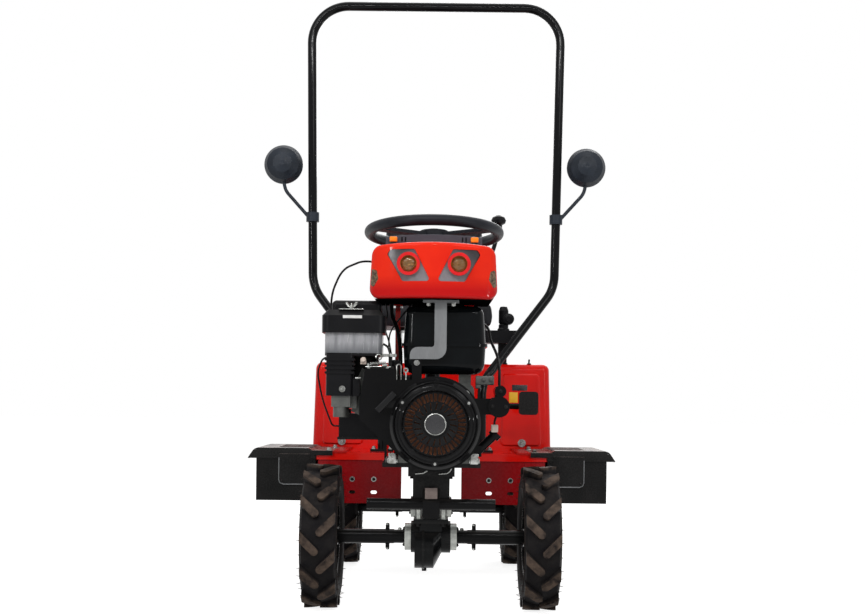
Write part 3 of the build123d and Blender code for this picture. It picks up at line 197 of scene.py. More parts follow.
# sand-cast aluminium: dull grey with a sandy skin
castAlloy = finish({
    "name": "sandCastAluminium", "colour": "#3f403f", "tint": "#5a5b58", "blotch": 60, "grain": 1.6,
    "depth": 0.5, "rough": (0.4, 0.6), "dust": ("#7b746b", 0.3), "metal": 0.85})
# sand-cast iron, painted black: rough grain under a thin gloss
castIron = finish({
    "name": "paintedCastIron", "colour": "#0b0c0d", "tint": "#131415", "blotch": 60, "grain": 3.0,
    "depth": 0.6, "rough": (0.16, 0.3), "dust": ("#4a4642", 0.4), "wear": ("#4a4846", 0.4), "shine": 0.09,
    "ior": 1.5})
# injection-moulded black ABS: fine spark-eroded grain
mouldedBlack = finish({
    "name": "mouldedBlackAbs", "colour": "#0e0e10", "tint": "#131315", "blotch": 90, "grain": 1.4,
    "depth": 0.25, "rough": (0.26, 0.4), "dust": ("#4a4845", 0.3), "shine": 0.09, "ior": 1.5})
# injection-moulded recoil cover: half gloss, so its ridges catch the light
recoilPlastic = finish({
    "name": "mouldedBlackNylon", "colour": "#0c0c0d", "tint": "#111112", "blotch": 110, "grain": 2.2,
    "depth": 0.15, "rough": (0.07, 0.12), "wear": ("#3a3a3b", 0.4), "shine": 0.1, "ior": 1.52})
# self-skinned polyurethane foam of the steering wheel: soft blue-black
wheelFoam = finish({
    "name": "skinnedPolyurethaneFoam", "colour": "#17191e", "tint": "#1e2026", "blotch": 60, "grain": 2.2,
    "depth": 0.2, "rough": (0.34, 0.48), "dust": ("#4a4b50", 0.25), "shine": 0.12, "ior": 1.5})
# black sheet under the hood, painted shade for its dark inside: no shine at all
hoodShadeBlack = finish({
    "name": "needledBlackFelt", "colour": "#060606", "tint": "#0a0a0a", "blotch": 12, "grain": 1.6,
    "depth": 0.5, "rough": (0.95, 1.0), "shine": 0.0})
# injection-moulded grey ABS of the dash: a flat bluish grey with fine grain
dashGrey = finish({
    "name": "mouldedGreyAbs", "colour": "#3b3c44", "tint": "#44454d", "blotch": 90, "grain": 1.4,
    "depth": 0.25, "rough": (0.4, 0.55), "dust": ("#7d7874", 0.3), "shine": 0.16, "ior": 1.52})
# moulded brown nylon of the fan, seen through the slots
fanNylon = finish({
    "name": "mouldedBrownNylon", "colour": "#8f5a3f", "tint": "#a86c4d", "blotch": 50, "grain": 2,
    "depth": 0.2, "rough": (0.35, 0.5), "shine": 0.14, "ior": 1.53})
# smoked polypropylene bowl: milky, with upright flow lines
smokedBowl = finish({
    "name": "smokedPolypropylene", "colour": "#77787c", "tint": "#a9a9ac", "blotch": 26, "grain": 5,
    "depth": 0.08, "stretch": (1, 1, 0.12), "rough": (0.16, 0.28), "fade": ("#66686c", 0, 1, 758, 732),
    "shine": 0.25, "ior": 1.49, "clear": 0.15})
# machined aluminium of the bearing caps and spacers: pale, fine turning marks
turnedAlloy = finish({
    "name": "turnedAluminium", "colour": "#8f918d", "tint": "#aeb0ab", "blotch": 18, "grain": 2,
    "depth": 0.1, "rough": (0.34, 0.5), "metal": 0.85})
# cream nylon of plugs and knobs, a little yellowed
creamNylon = finish({
    "name": "mouldedCreamNylon", "colour": "#b8a79c", "tint": "#cbbdb2", "blotch": 12, "grain": 2,
    "depth": 0.1, "rough": (0.4, 0.55), "shine": 0.3, "ior": 1.53})
# zinc plate on turned steel: pale, faintly cloudy
zincPlate = finish({
    "name": "zincPlatedSteel", "colour": "#a6a7a5", "tint": "#72736f", "blotch": 14, "grain": 2.5,
    "depth": 0.08, "rough": (0.18, 0.34), "metal": 1.0})
# grey paint on a flat strap: thin, with the strip's roll marks
greyPaint = finish({
    "name": "greyPaintOnStrip", "colour": "#5b5d5f", "tint": "#686a6c", "blotch": 40, "grain": 3,
    "depth": 0.12, "stretch": (1, 1, 0.2), "rough": (0.36, 0.5), "wear": ("#8e8f90", 0.4), "ior": 1.5})
# silver-grey polycarbonate round the lamps: painted shade darkens its upper outer corners
eyeGrey = finish({
    "name": "silverGreyPolycarbonate", "colour": "#6a676b", "tint": "#7f7b80", "blotch": 45, "grain": 4,
    "depth": 0.05, "rough": (0.18, 0.28), "fade": ("#241f22", 1, 1, 990, 1105), "shine": 0.3,
    "ior": 1.58})
# red moulded bezel round each lamp: smooth half gloss
bezelRed = finish({
    "name": "mouldedRedBezel", "colour": "#c4161a", "tint": "#cf1e20", "blotch": 40, "grain": 4,
    "depth": 0.05, "rough": (0.14, 0.22), "shine": 0.2, "ior": 1.5})
# amber-tinted clear polycarbonate lens: hard and bright
clearLens = finish({
    "name": "amberTintedPolycarbonate", "colour": "#f4cc8a", "tint": "#f7d69c", "blotch": 20, "grain": 9,
    "depth": 0.05, "rough": (0.02, 0.04), "shine": 0.3, "ior": 1.3, "clear": 0.92})
# reflector bowl coated amber over bright metal
amberBowl = finish({
    "name": "amberCoatedReflector", "colour": "#b9782c", "tint": "#e0a94e", "blotch": 14, "grain": 4,
    "depth": 0.05, "rough": (0.12, 0.22), "metal": 0.8})
# amber, orange and red acrylic lamp lenses: fluted behind a smooth face
amberLens = finish({
    "name": "amberAcrylic", "colour": "#2c2018", "tint": "#7d6547", "blotch": 6, "grain": 4, "depth": 0.1,
    "rough": (0.08, 0.16), "shine": 0.35, "ior": 1.49, "clear": 0.15})
orangeLens = finish({
    "name": "orangeAcrylic", "colour": "#e87512", "tint": "#f08c1e", "blotch": 15, "grain": 4,
    "depth": 0.1, "rough": (0.1, 0.2), "shine": 0.25, "ior": 1.49})
redLens = finish({
    "name": "redAcrylic", "colour": "#8d0c10", "tint": "#a01216", "blotch": 15, "grain": 4, "depth": 0.15,
    "rough": (0.08, 0.16), "shine": 0.3, "ior": 1.49, "clear": 0.2})
# silvered glass: a clean mirror
silverGlass = finish({
    "name": "silveredMirrorGlass", "colour": "#dfe2e4", "tint": "#e4e6e8", "blotch": 80, "grain": 30,
    "depth": 0.01, "rough": (0.02, 0.05), "metal": 1.0})
# moulded mirror shell: bluish black, softly grained
mirrorShell = finish({
    "name": "mouldedMirrorShell", "colour": "#1b2027", "tint": "#242a33", "blotch": 50, "grain": 2,
    "depth": 0.2, "rough": (0.34, 0.48), "shine": 0.16, "ior": 1.5})
# PVC leathercloth over foam: pebbled grain, drawn coarser than the real 1 mm so that it shows
leathercloth = finish({
    "name": "pebbledLeathercloth", "colour": "#131316", "tint": "#1b1b1f", "blotch": 70, "grain": 6,
    "depth": 0.6, "pebble": 3.2, "strength": 0.35, "rough": (0.36, 0.52), "dust": ("#4c4a4b", 0.25),
    "shine": 0.12, "ior": 1.5})
# extruded cable sheath: dull black with a faint draw line
cableRubber = finish({
    "name": "extrudedPvcSheath", "colour": "#0e0e0f", "tint": "#151516", "blotch": 25, "grain": 2,
    "depth": 0.15, "rough": (0.4, 0.55), "shine": 0.08, "ior": 1.52})
# vulcanised rubber: matt black flanks, lug tops brown with road dust that is measured from each axle
rubber = {}
for end, axleY in axles.items():
    rubber[end] = finish({
        "name": "vulcanisedTreadRubber" + end.title(), "colour": "#121113", "tint": "#1d1b1b",
        "blotch": 30, "grain": 2.4, "depth": 0.4, "rough": (0.55, 0.78), "dust": ("#3e3733", 0.35),
        "wear": ("#4a403a", 0.6), "dirt": ("#55483f", (0, axleY * mm, axleHeight * mm), 196, 204),
        "shine": 0.06, "ior": 1.52})
# ribbed rubber tread, greyed by shoe dust
treadMat = finish({
    "name": "ribbedRubberTread", "colour": "#2b2827", "tint": "#4b4442", "blotch": 40, "grain": 3,
    "depth": 0.3, "rough": (0.55, 0.75), "dust": ("#857774", 0.9), "shine": 0.12, "ior": 1.52})
# blank plates: self-coloured film, smooth and a little glossy
blankYellow = finish({
    "name": "blankYellowFilm", "colour": "#d8a51c", "tint": "#e2b12a", "blotch": 20, "grain": 3,
    "depth": 0.03, "rough": (0.3, 0.42), "ior": 1.5})
blankWhite = finish({
    "name": "blankWhiteFilm", "colour": "#c9c8c6", "tint": "#d6d5d3", "blotch": 20, "grain": 3,
    "depth": 0.03, "rough": (0.3, 0.42), "ior": 1.5})
dustyPlate = finish({
    "name": "dustyBarePlate", "colour": "#6a5e5a", "tint": "#7d706b", "blotch": 12, "grain": 3,
    "depth": 0.05, "rough": (0.4, 0.55), "shine": 0.3, "ior": 1.5})
blankBlack = finish({
    "name": "blankBlackFilm", "colour": "#17171a", "tint": "#1e1e21", "blotch": 24, "grain": 3,
    "depth": 0.03, "rough": (0.22, 0.34), "ior": 1.5})

bySlot = {
    "red_paint": redEnamel, "black_paint": blackEnamel, "engine_black": stovedBlack, "cast_engine": castAlloy,
    "black_plastic": mouldedBlack, "grey_plastic": dashGrey, "fan_brown": fanNylon, "bowl_clear": smokedBowl,
    "bare_steel": zincPlate, "grey_strap": greyPaint, "lamp_grey": eyeGrey, "lamp_glass": clearLens,
    "amber_lens": amberLens, "orange_lens": orangeLens, "red_lens": redLens, "mirror": silverGlass,
    "seat_vinyl": leathercloth, "cable_rubber": cableRubber, "tyre": rubber["front"],
    "rim_paint": blackEnamel}
byNode = {
    "hood": hoodEnamel, "footplates": footEnamel, "apron": apronPaintedShade, "carburettor": castAlloy,
    "throttle_linkage": blackEnamel,
    "front_gearbox_fittings": turnedAlloy, "rear_gearbox_fittings": turnedAlloy,
    "fuel_tank": tankPlastic, "roll_bar": hoopEnamel, "recoil_cover": recoilPlastic, "lamp_rings": bezelRed,
    "mirrors": mirrorShell, "steering_wheel": wheelFoam, "front_gearbox": castIron, "rear_gearbox": castIron,
    "tyre_rear_left": rubber["rear"], "tyre_rear_right": rubber["rear"]}
for part in frame["record"]["subparts"]:
    obj = nodes[part["node"]]
    obj.data.materials.clear()
    obj.data.materials.append(byNode.get(part["node"], bySlot[part["material_slot"]]))

# folded sheet and castings have small radii on their edges
edgeRadius = {"default": 1.2, "tyre": 2.0, "rim": 1.2, "recoil_cover": 0.7, "control_cables": 0}
for name, obj in nodes.items():
    key = next((k for k in edgeRadius if name.startswith(k)), "default")
    if edgeRadius[key]:
        soft = obj.modifiers.new("edgeRadius", "BEVEL")
        soft.width = edgeRadius[key] * mm
        soft.segments = 2
        soft.limit_method = "ANGLE"
        soft.angle_limit = math.radians(38)
        soft.harden_normals = True
print("edges softened")


def newPiece(name, body, material, shape, crease=38):
    # shape is a bmesh in metres, in the tractor's own frame
    bmesh.ops.recalc_face_normals(shape, faces=shape.faces)
    mesh = bpy.data.meshes.new(name)
    shape.to_mesh(mesh)
    shape.free()
    mesh.materials.append(material)
    for face in mesh.polygons:
        face.use_smooth = True
    mesh.set_sharp_from_angle(angle=math.radians(crease))
    obj = bpy.data.objects.new(name, mesh)
    scene.collection.objects.link(obj)
    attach(obj, body)
    return obj


def turned(shape, profile, centre, axis, steps=28):
    # profile: (radius, reach along the axis) in mm, as on a lathe
    along = Vector(axis).normalized()
    side = along.orthogonal().normalized()
    other = along.cross(side)
    rings = []
    for radius, reach in profile:
        hub = (Vector(centre) + along * reach) * mm
        ring = []
        for i in range(steps if radius else 1):
            turn = 2 * math.pi * i / steps
            way = side * math.cos(turn) + other * math.sin(turn)
            ring.append(shape.verts.new(hub + way * radius * mm))
        rings.append(ring)
    for low, high in zip(rings, rings[1:]):
        for i in range(steps):
            j = (i + 1) % steps
            if len(low) == 1 and len(high) > 1:
                shape.faces.new((low[0], high[i], high[j]))
            elif len(high) == 1 and len(low) > 1:
                shape.faces.new((low[i], low[j], high[0]))
            elif len(low) > 1:
                shape.faces.new((low[i], low[j], high[j], high[i]))


def boltHead(shape, spot, axis, flats, tall, washer=0):
    # washer, chamfered hexagon and the end of the thread
    corner = flats / math.sqrt(3)
    core = 0.3 * flats
    lift = 1.8 if washer else 0
    top = lift + tall
    if washer:
        ring = [(0, 0), (washer, 0), (washer, 1.3), (washer - 0.5, 1.8), (0, 1.8)]
        turned(shape, ring, spot, axis, 22)
    head = [(0, lift), (corner, lift), (corner, lift + 0.82 * tall), (0.86 * corner, top), (0, top)]
    turned(shape, head, spot, axis, 6)
    thread = [(0, lift), (core, lift), (core, top + 0.6), (0.8 * core, top + 1.1), (0, top + 1.1)]
    turned(shape, thread, spot, axis, 14)


def slab(shape, low, high, soft):
    # rounded plate between two corners
    made = bmesh.ops.create_cube(shape, size=1.0)["verts"]
    for v in made:
        v.co = Vector([(a + b) / 2 + c * (b - a) for a, b, c in zip(low, high, v.co)]) * mm
    edges = list({e for v in made for e in v.link_edges})
    bmesh.ops.bevel(shape, geom=edges, offset=soft * mm, segments=3, profile=0.5, affect="EDGES")


def slabPair(shape, x, y, z, soft):
    # the same plate on both sides, x measured outward
    for side in (-1, 1):
        left, right = sorted(side * c for c in x)
        slab(shape, (left, y[0], z[0]), (right, y[1], z[1]), soft)


def skinned(shape, sections):
    # closed skin over a row of sections, points in mm
    rings = [[shape.verts.new(Vector(p) * mm) for p in section] for section in sections]
    for one, two in zip(rings, rings[1:]):
        for k in range(len(one)):
            n = (k + 1) % len(one)
            shape.faces.new((one[k], one[n], two[n], two[k]))
    shape.faces.new(rings[0])
    shape.faces.new(rings[-1])


def wire(shape, path, radius, sides=8):
    # round wire along points in mm
    spots = [Vector(p) for p in path]
    sections = []
    side = None
    for i, spot in enumerate(spots):
        ahead = (spots[min(i + 1, len(spots) - 1)] - spots[max(i - 1, 0)]).normalized()
        side = (ahead.orthogonal() if side is None else side - ahead * side.dot(ahead)).normalized()
        other = ahead.cross(side)
        turns = [2 * math.pi * k / sides for k in range(sides)]
        sections.append([spot + (side * math.cos(t) + other * math.sin(t)) * radius for t in turns])
    skinned(shape, sections)


def smoothLine(points, steps):
    # an even bend through all the points
    spots = [Vector(p) for p in points]
    line = []
    for i in range(len(spots) - 1):
        start, stop = spots[i], spots[i + 1]
        before, after = spots[max(i - 1, 0)], spots[min(i + 2, len(spots) - 1)]
        leave, arrive = (stop - before) / 2, (after - start) / 2
        for k in range(steps):
            t = k / steps
            line.append(start * (2 * t ** 3 - 3 * t ** 2 + 1) + leave * (t ** 3 - 2 * t ** 2 + t)
                        + stop * (3 * t ** 2 - 2 * t ** 3) + arrive * (t ** 3 - t ** 2))
    return line + [spots[-1]]


# seat: pads blown up under their cover, then sewn; ease is how softly a change sets in
seat = {
    "voxel": 6, "pressure": 4.0, "settle": 20, "corner": 16,
    "base": ((-211, 206, 857), (211, 564, 934)), "baseTop": 209, "baseCap": 24, "baseFloor": 855.4,
    "back": ((-210, 552, 958), (210, 612, 1244)), "backTop": 184, "backCap": 22, "backFloor": 951,
    "channels": (286, 356, 426, 496), "backChannels": (1011, 1071, 1131, 1191),
    "channelDeep": 6, "channelWide": 7, "bolster": 138, "bolsterEase": 9, "seamDeep": 7, "seamWide": 6,
    "dish": 13, "crown": 905, "frontRoll": 235, "rollEase": 14, "lumbar": 11, "backFace": 575, "ease": 20}


def plumped(name, shape, cap, floorZ):
    # fine net over the form, blown up as cloth, no point further than cap
    form = bpy.data.objects.new(name + "Form", bpy.data.meshes.new(name + "Form"))
    shape.to_mesh(form.data)
    shape.free()
    scene.collection.objects.link(form)
    net = form.modifiers.new("net", "REMESH")
    net.mode = "VOXEL"
    net.voxel_size = seat["voxel"] * mm
    graph = bpy.context.evaluated_depsgraph_get()
    cover = bpy.data.meshes.new_from_object(form.evaluated_get(graph))
    bpy.data.objects.remove(form)
    cover.name = name
    pad = bpy.data.objects.new(name, cover)
    scene.collection.objects.link(pad)
    rest = [v.co.copy() for v in cover.vertices]
    cloth = pad.modifiers.new("cover", "CLOTH")
    cloth.settings.use_pressure = True
    cloth.settings.uniform_pressure_force = seat["pressure"]
    cloth.settings.effector_weights.gravity = 0
    for step in range(1, seat["settle"] + 1):
        scene.frame_set(step)
    graph = bpy.context.evaluated_depsgraph_get()
    blown = bpy.data.meshes.new_from_object(pad.evaluated_get(graph))
    pad.modifiers.clear()
    for v, new, old in zip(cover.vertices, blown.vertices, rest):
        move = new.co - old
        v.co = old + move * min(1.0, cap * mm / max(move.length, 1e-9))
    bpy.data.meshes.remove(blown)
    scene.frame_set(1)
    for v in cover.vertices:
        v.co.z = max(v.co.z, floorZ * mm)
    return pad


def padForm(low, high, topHalf):
    # pad before it is filled: a rounded block, narrower at its far end
    shape = bmesh.new()
    slab(shape, low, high, seat["corner"])
    for v in shape.verts:
        rise = (v.co.z / mm - low[2]) / (high[2] - low[2])
        v.co.x *= 1 + (topHalf / high[0] - 1) * rise
    return shape


def groove(distance, wide):
    return math.exp(-(distance / wide) ** 2)


def betweenBolsters(x):
    return 1 / (1 + math.exp((abs(x) - seat["bolster"]) / seat["bolsterEase"]))


cushion = plumped("seatCushion", padForm(*seat["base"], seat["baseTop"]), seat["baseCap"], seat["baseFloor"])
for v in cushion.data.vertices:
    x, y, z = v.co / mm
    top = min(1.0, max(0.0, (z - seat["crown"]) / seat["ease"]))
    inner = betweenBolsters(x)
    back = 1 / (1 + math.exp((seat["frontRoll"] - y) / seat["rollEase"]))
    sewn = max(groove(y - c, seat["channelWide"]) for c in seat["channels"]) * inner
    seam = groove(abs(x) - seat["bolster"], seat["seamWide"]) * back
    drop = seat["dish"] * inner * back + seat["channelDeep"] * sewn + seat["seamDeep"] * seam
    v.co.z = max(seat["baseFloor"] * mm, v.co.z - drop * top * mm)
backPad = plumped("seatBackPad", padForm(*seat["back"], seat["backTop"]), seat["backCap"], seat["backFloor"])
for v in backPad.data.vertices:
    x, y, z = v.co / mm
    face = min(1.0, max(0.0, (seat["backFace"] - y) / seat["ease"]))
    inner = betweenBolsters(x)
    sewn = max(groove(z - c, seat["channelWide"]) for c in seat["backChannels"]) * inner
    seam = groove(abs(x) - seat["bolster"], seat["seamWide"])
    v.co.y += (seat["lumbar"] * inner + seat["channelDeep"] * sewn + seat["seamDeep"] * seam) * face * mm
for pad, node, fill in ((cushion, "seat_cushion", 0.75), (backPad, "seat_back", 0.7)):
    pad.data.materials.append(leathercloth)
    for face in pad.data.polygons:
        face.use_smooth = True
    rounder = pad.modifiers.new("rounder", "SUBSURF")
    rounder.render_levels = 1
    rounder.levels = 1
    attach(pad, "rear_half")
    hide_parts(node)

# bent strap that carries the seat back: foot and post are (front, low, high)
bracket = {
    "half": 58, "rear": 608, "foot": (571, 876, 892), "post": (593, 885, 966), "bolt": 36, "boltZ": 906}
shape = bmesh.new()
for front, low, high in (bracket["foot"], bracket["post"]):
    slab(shape, (-bracket["half"], front, low), (bracket["half"], bracket["rear"], high), 3)
for side in (-1, 1):
    boltHead(shape, (side * bracket["bolt"], bracket["rear"], bracket["boltZ"]), (0, 1, 0), 13, 7, 11)
newPiece("seatBackBracket", "rear_half", blackEnamel, shape)
print("seat pads filled and sewn")

# headlamps: amber bowl, bulb and a domed clear lens in each ring
headlamp = {
    "x": 67.9, "face": -767.4, "z": 968,
    "bowl": [(0, 29), (7, 28.5), (13, 25), (17.5, 18), (20.5, 8), (21.6, -1), (22, -1), (22, 29.5),
             (0, 29.5)],
    "lens": [(0, -7.5), (8, -6.9), (15, -5), (19.5, -2.6), (21.3, -0.4), (21.3, 0.6), (15, -2.6), (8, -4.4),
             (0, -5)],
    "bulb": [(0, 5), (3, 5.8), (4.6, 9), (4.8, 13), (3.6, 18), (3.6, 28), (0, 28)]}
bowls = bmesh.new()
lenses = bmesh.new()
bulbs = bmesh.new()
for side in (-1, 1):
    spot = (side * headlamp["x"], headlamp["face"], headlamp["z"])
    turned(bowls, headlamp["bowl"], spot, (0, 1, 0), 40)
    turned(lenses, headlamp["lens"], spot, (0, 1, 0), 40)
    turned(bulbs, headlamp["bulb"], spot, (0, 1, 0), 20)
bowl = newPiece("headlampBowls", "front_half", amberBowl, bowls)
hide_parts("headlamps")
newPiece("headlampLenses", "front_half", clearLens, lenses)
newPiece("headlampBulbs", "front_half", amberLens, bulbs)
print("lamps fitted")

# fasteners: spot in mm, way the head faces, width across flats, height, washer radius
facingFront, facingUp, facingDown = (0, -1, 0), (0, 0, 1), (0, 0, -1)
frontBolts = [
    ((97, -807, 596), facingFront, 8, 5, 0), ((-79, -807, 596), facingFront, 8, 5, 0),
    ((9, -807, 434), facingFront, 8, 5, 0), ((92, -760, 622), facingFront, 10, 6, 8),
    ((-245, -720, 631), facingFront, 10, 6, 9), ((-43, -731, 704), facingFront, 10, 6, 8),
    ((-13, -714, 868), facingDown, 10, 7, 8), ((55, -714, 868), facingDown, 10, 7, 8)]
rearBolts = [((0, 0, 412), facingUp, 19, 7, 18)]
apronBolts = []
for side in (-1, 1):
    frontBolts.append(((side * 36, -662, 403), facingUp, 13, 8, 11))
    for y in (-668, -575):
        frontBolts.append(((8 + side * 112, y, 442), facingUp, 13, 8, 12))
    for y in (-432, -385):
        frontBolts.append(((side * 32, y, 405), facingUp, 10, 6, 8))
    rearBolts.append(((side * 314, 294, 455), facingFront, 13, 7, 14))
    for y in (-25, 240):
        rearBolts.append(((side * 333, y, 435), facingUp, 13, 7, 12))
    for dx in (-28, 28):
        for dy in (-20, 20):
            rearBolts.append(((side * 165 + dx, 85 + dy, 438), facingUp, 10, 6, 8))
    for x in (186, 256):
        apronBolts.append(((side * x, -40, 344), facingFront, 10, 6))
for body, table in (("front_half", frontBolts), ("rear_half", rearBolts)):
    shape = bmesh.new()
    for row in table:
        boltHead(shape, *row)
    newPiece("zincBolts_" + body, body, zincPlate, shape, 30)
heads = bmesh.new()
washers = bmesh.new()
for row in apronBolts:
    boltHead(heads, *row)
    turned(washers, [(0, -0.4), (8.6, -0.4), (8.6, 1), (8, 1.6), (5, 1.6), (0, 1.6)], row[0], row[1], 22)
newPiece("apronBolts", "rear_half", blackEnamel, heads, 30)
newPiece("apronWashers", "rear_half", zincPlate, washers, 30)

# gearbox bolts: bearing-cap rings and flange nuts, painted with the casting
gearbox = {"cap": 75, "ring": 31, "count": 4, "flats": 8, "nutX": 36, "nutY": 44, "nutZ": 250}
for end, axleY in axles.items():
    shape = bmesh.new()
    for side in (-1, 1):
        for i in range(gearbox["count"]):
            turn = math.radians(45 + 360 * i / gearbox["count"])
            spot = (side * gearbox["cap"], axleY + gearbox["ring"] * math.cos(turn),
                    axleHeight + gearbox["ring"] * math.sin(turn))
            boltHead(shape, spot, (side, 0, 0), gearbox["flats"], 5)
        for dy in (-1, 1):
            spot = (side * gearbox["nutX"], axleY + dy * gearbox["nutY"], gearbox["nutZ"])
            boltHead(shape, spot, facingDown, 13, 8, 11)
    body = end + "_half"
    newPiece("gearboxBolts_" + body, body, castIron, shape, 30)
print("bolts in place")

# wheels: hub bolts, cross bolts through the sleeves, valve stems, sidewall ribs and mould hairs
wheel = {
    "track": 313, "boltRing": 34, "boltCount": 5, "boltIn": 5, "cross": 125, "crossReach": 33,
    "screw": 90, "screwReach": 19, "valveRadius": 80, "valveIn": 6,
    "valve": [(0, -4), (6, -4), (6, 1), (4.2, 3), (3.6, 16), (4.4, 16.5), (4.4, 25), (3.4, 26.5), (0, 26.5)],
    "flank": ((37.7, 117.9), (52.0, 155.4), (45.0, 186.5)),
    "ribs": (124, 131, 165, 172), "ribTall": 1.3, "ribHalf": 1.1, "ribSunk": 0.6,
    "hairs": 34, "hairLong": 15, "hairRing": 178}


def flankReach(radius):
    # half width of the bulging sidewall at a radius, on the circle through bead, waist and shoulder
    (ax, ay), (bx, by), (cx, cy) = wheel["flank"]
    d = 2 * (ax * (by - cy) + bx * (cy - ay) + cx * (ay - by))
    aa, bb, cc = ax * ax + ay * ay, bx * bx + by * by, cx * cx + cy * cy
    ux = (aa * (by - cy) + bb * (cy - ay) + cc * (ay - by)) / d
    uy = (aa * (cx - bx) + bb * (ax - cx) + cc * (bx - ax)) / d
    big = math.hypot(ax - ux, ay - uy)
    return ux + math.sqrt(big * big - (radius - uy) ** 2)


def wheelBolts(hub, side):
    bolts = bmesh.new()
    for i in range(wheel["boltCount"]):
        turn = 2 * math.pi * i / wheel["boltCount"]
        ring = Vector((0, math.cos(turn), math.sin(turn))) * wheel["boltRing"]
        boltHead(bolts, hub + ring - Vector((side * wheel["boltIn"], 0, 0)), (side, 0, 0), 13, 8, 11)
    for up in (-1, 1):
        spot = (side * wheel["cross"], hub.y, hub.z + up * wheel["crossReach"])
        boltHead(bolts, spot, (0, 0, up), 10, 5, 0)
    boltHead(bolts, (side * wheel["screw"], hub.y, hub.z + wheel["screwReach"]), facingUp, 10, 6, 0)
    return bolts


def tyreTrim(hub):
    # moulded ribs round each flank, and the hairs that the mould's vents leave
    trim = bmesh.new()
    half, tall, long = wheel["ribHalf"], wheel["ribTall"], wheel["hairLong"]
    for out in (-1, 1):
        for r in wheel["ribs"]:
            rib = [(r - half, flankReach(r - half) - wheel["ribSunk"]), (r - half / 2, flankReach(r) + tall),
                   (r + half / 2, flankReach(r) + tall), (r + half, flankReach(r + half) - wheel["ribSunk"])]
            turned(trim, rib, hub, (out, 0, 0), 72)
        for i in range(wheel["hairs"]):
            turn = 2 * math.pi * (i + 0.3 * math.sin(7 * i)) / wheel["hairs"]
            lean = 0.35 * math.sin(3.1 * i)
            r = wheel["hairRing"] + 5 * math.sin(5 * i)
            spot = hub + Vector((out * (flankReach(r) - 1), r * math.cos(turn), r * math.sin(turn)))
            tip = Vector((out, lean * math.cos(turn), lean * math.sin(turn)))
            turned(trim, [(1.2, 0), (0.8, 0.6 * long), (0, long + 2 * math.sin(i))], spot, tip, 5)
    return trim


for end, axleY in axles.items():
    for sideName, side in (("left", 1), ("right", -1)):
        body = f"{end}_wheel_{sideName}"
        hub = Vector((side * wheel["track"], axleY, axleHeight))
        newPiece("wheelBolts_" + body, body, zincPlate, wheelBolts(hub, side), 30)
        valve = bmesh.new()
        foot = hub + Vector((side * -wheel["valveIn"], wheel["valveRadius"], 0))
        turned(valve, wheel["valve"], foot, (side, 0, 0), 14)
        newPiece("valveStem_" + body, body, cableRubber, valve)
        newPiece("tyreTrim_" + body, body, rubber[end], tyreTrim(hub))
print("wheels dressed")

# air cleaner: wing nut on its plate, blank strip on the cap
cleaner = {
    "x": -223, "y": -706, "top": 847, "front": -726, "strip": ((-245, 823), (-193, 831)),
    "wing": [(3, 6), (9, 10), (14, 16), (15, 20), (12, 20), (6, 12)]}
shape = bmesh.new()
cx, cy, cz = cleaner["x"], cleaner["y"], cleaner["top"]
slab(shape, (cx - 34, cy - 13, cz), (cx + 34, cy + 13, cz + 2.6), 1.2)
turned(shape, [(0, 2), (9, 2), (9, 3.5), (6, 5), (5, 12), (0, 12)], (cx, cy, cz), facingUp, 18)
turned(shape, [(0, 11), (2.6, 11), (2.6, 17), (2, 18), (0, 18)], (cx, cy, cz), facingUp, 12)
for side in (-1, 1):
    wire(shape, [(cx + side * out, cy, cz + rise) for out, rise in cleaner["wing"]], 2.0)
newPiece("wingNutAndPlate", "front_half", zincPlate, shape)
shape = bmesh.new()
(left, low), (right, high) = cleaner["strip"]
slab(shape, (left, cleaner["front"] - 0.9, low), (right, cleaner["front"] + 0.4, high), 0.4)
newPiece("cleanerBlankStrip", "front_half", blankWhite, shape)

# recoil cover: blank centre plate in a bright ring, pressed beads as (radius, y, gap at the top in degrees)
crest = {
    "x": 9, "z": 539, "face": -810, "beads": [(91, -806.4, 0), (101, -803.8, 6), (112, -794, 0)], "bead": 1.8,
    "plate": [(0, -2.4), (12, -2.2), (22, -1.6), (25.5, -0.8), (26.4, 0.6), (0, 0.6)],
    "ring": [(26.6, 0.6), (26.8, -1.4), (27.6, -2.0), (28.8, -1.4), (29, 0.6), (26.6, 0.6)]}
spot = (crest["x"], crest["face"], crest["z"])
shape = bmesh.new()
turned(shape, crest["plate"], spot, (0, 1, 0), 48)
newPiece("recoilBlankPlate", "front_half", blankBlack, shape)
shape = bmesh.new()
turned(shape, crest["ring"], spot, (0, 1, 0), 56)
newPiece("recoilBrightRing", "front_half", zincPlate, shape)
shape = bmesh.new()
for radius, y, gap in crest["beads"]:
    loop = []
    for i in range(73):
        turn = math.radians(90 + gap + (360 - 2 * gap) * i / 72)
        loop.append((crest["x"] + radius * math.cos(turn), y, crest["z"] + radius * math.sin(turn)))
    wire(shape, loop, crest["bead"])
newPiece("recoilBeads", "front_half", stovedBlack, shape)

# governor spring and rods over the throttle plate
governor = {
    "from": (-176, -722, 700), "to": (-120, -722, 702), "coil": 4.2, "wire": 0.9, "turns": 15,
    "post": (-176, -722, 693.5),
    "rod": [(-178, -712, 697), (-150, -712, 699), (-118, -712, 699), (-114, -712, 700)]}
shape = bmesh.new()
start, stop = Vector(governor["from"]), Vector(governor["to"])
spring = [start]
count = governor["turns"] * 8
for i in range(count + 1):
    turn = 2 * math.pi * i / 8
    spot = start.lerp(stop, 0.12 + 0.76 * i / count)
    spring.append(spot + Vector((0, math.cos(turn), math.sin(turn))) * governor["coil"])
spring.append(stop)
wire(shape, spring, governor["wire"], 6)
turned(shape, [(0, 0), (3, 0), (3, 8), (2, 9), (0, 9)], governor["post"], facingUp, 12)
wire(shape, governor["rod"], 1.4)
newPiece("governorSpring", "front_half", zincPlate, shape)

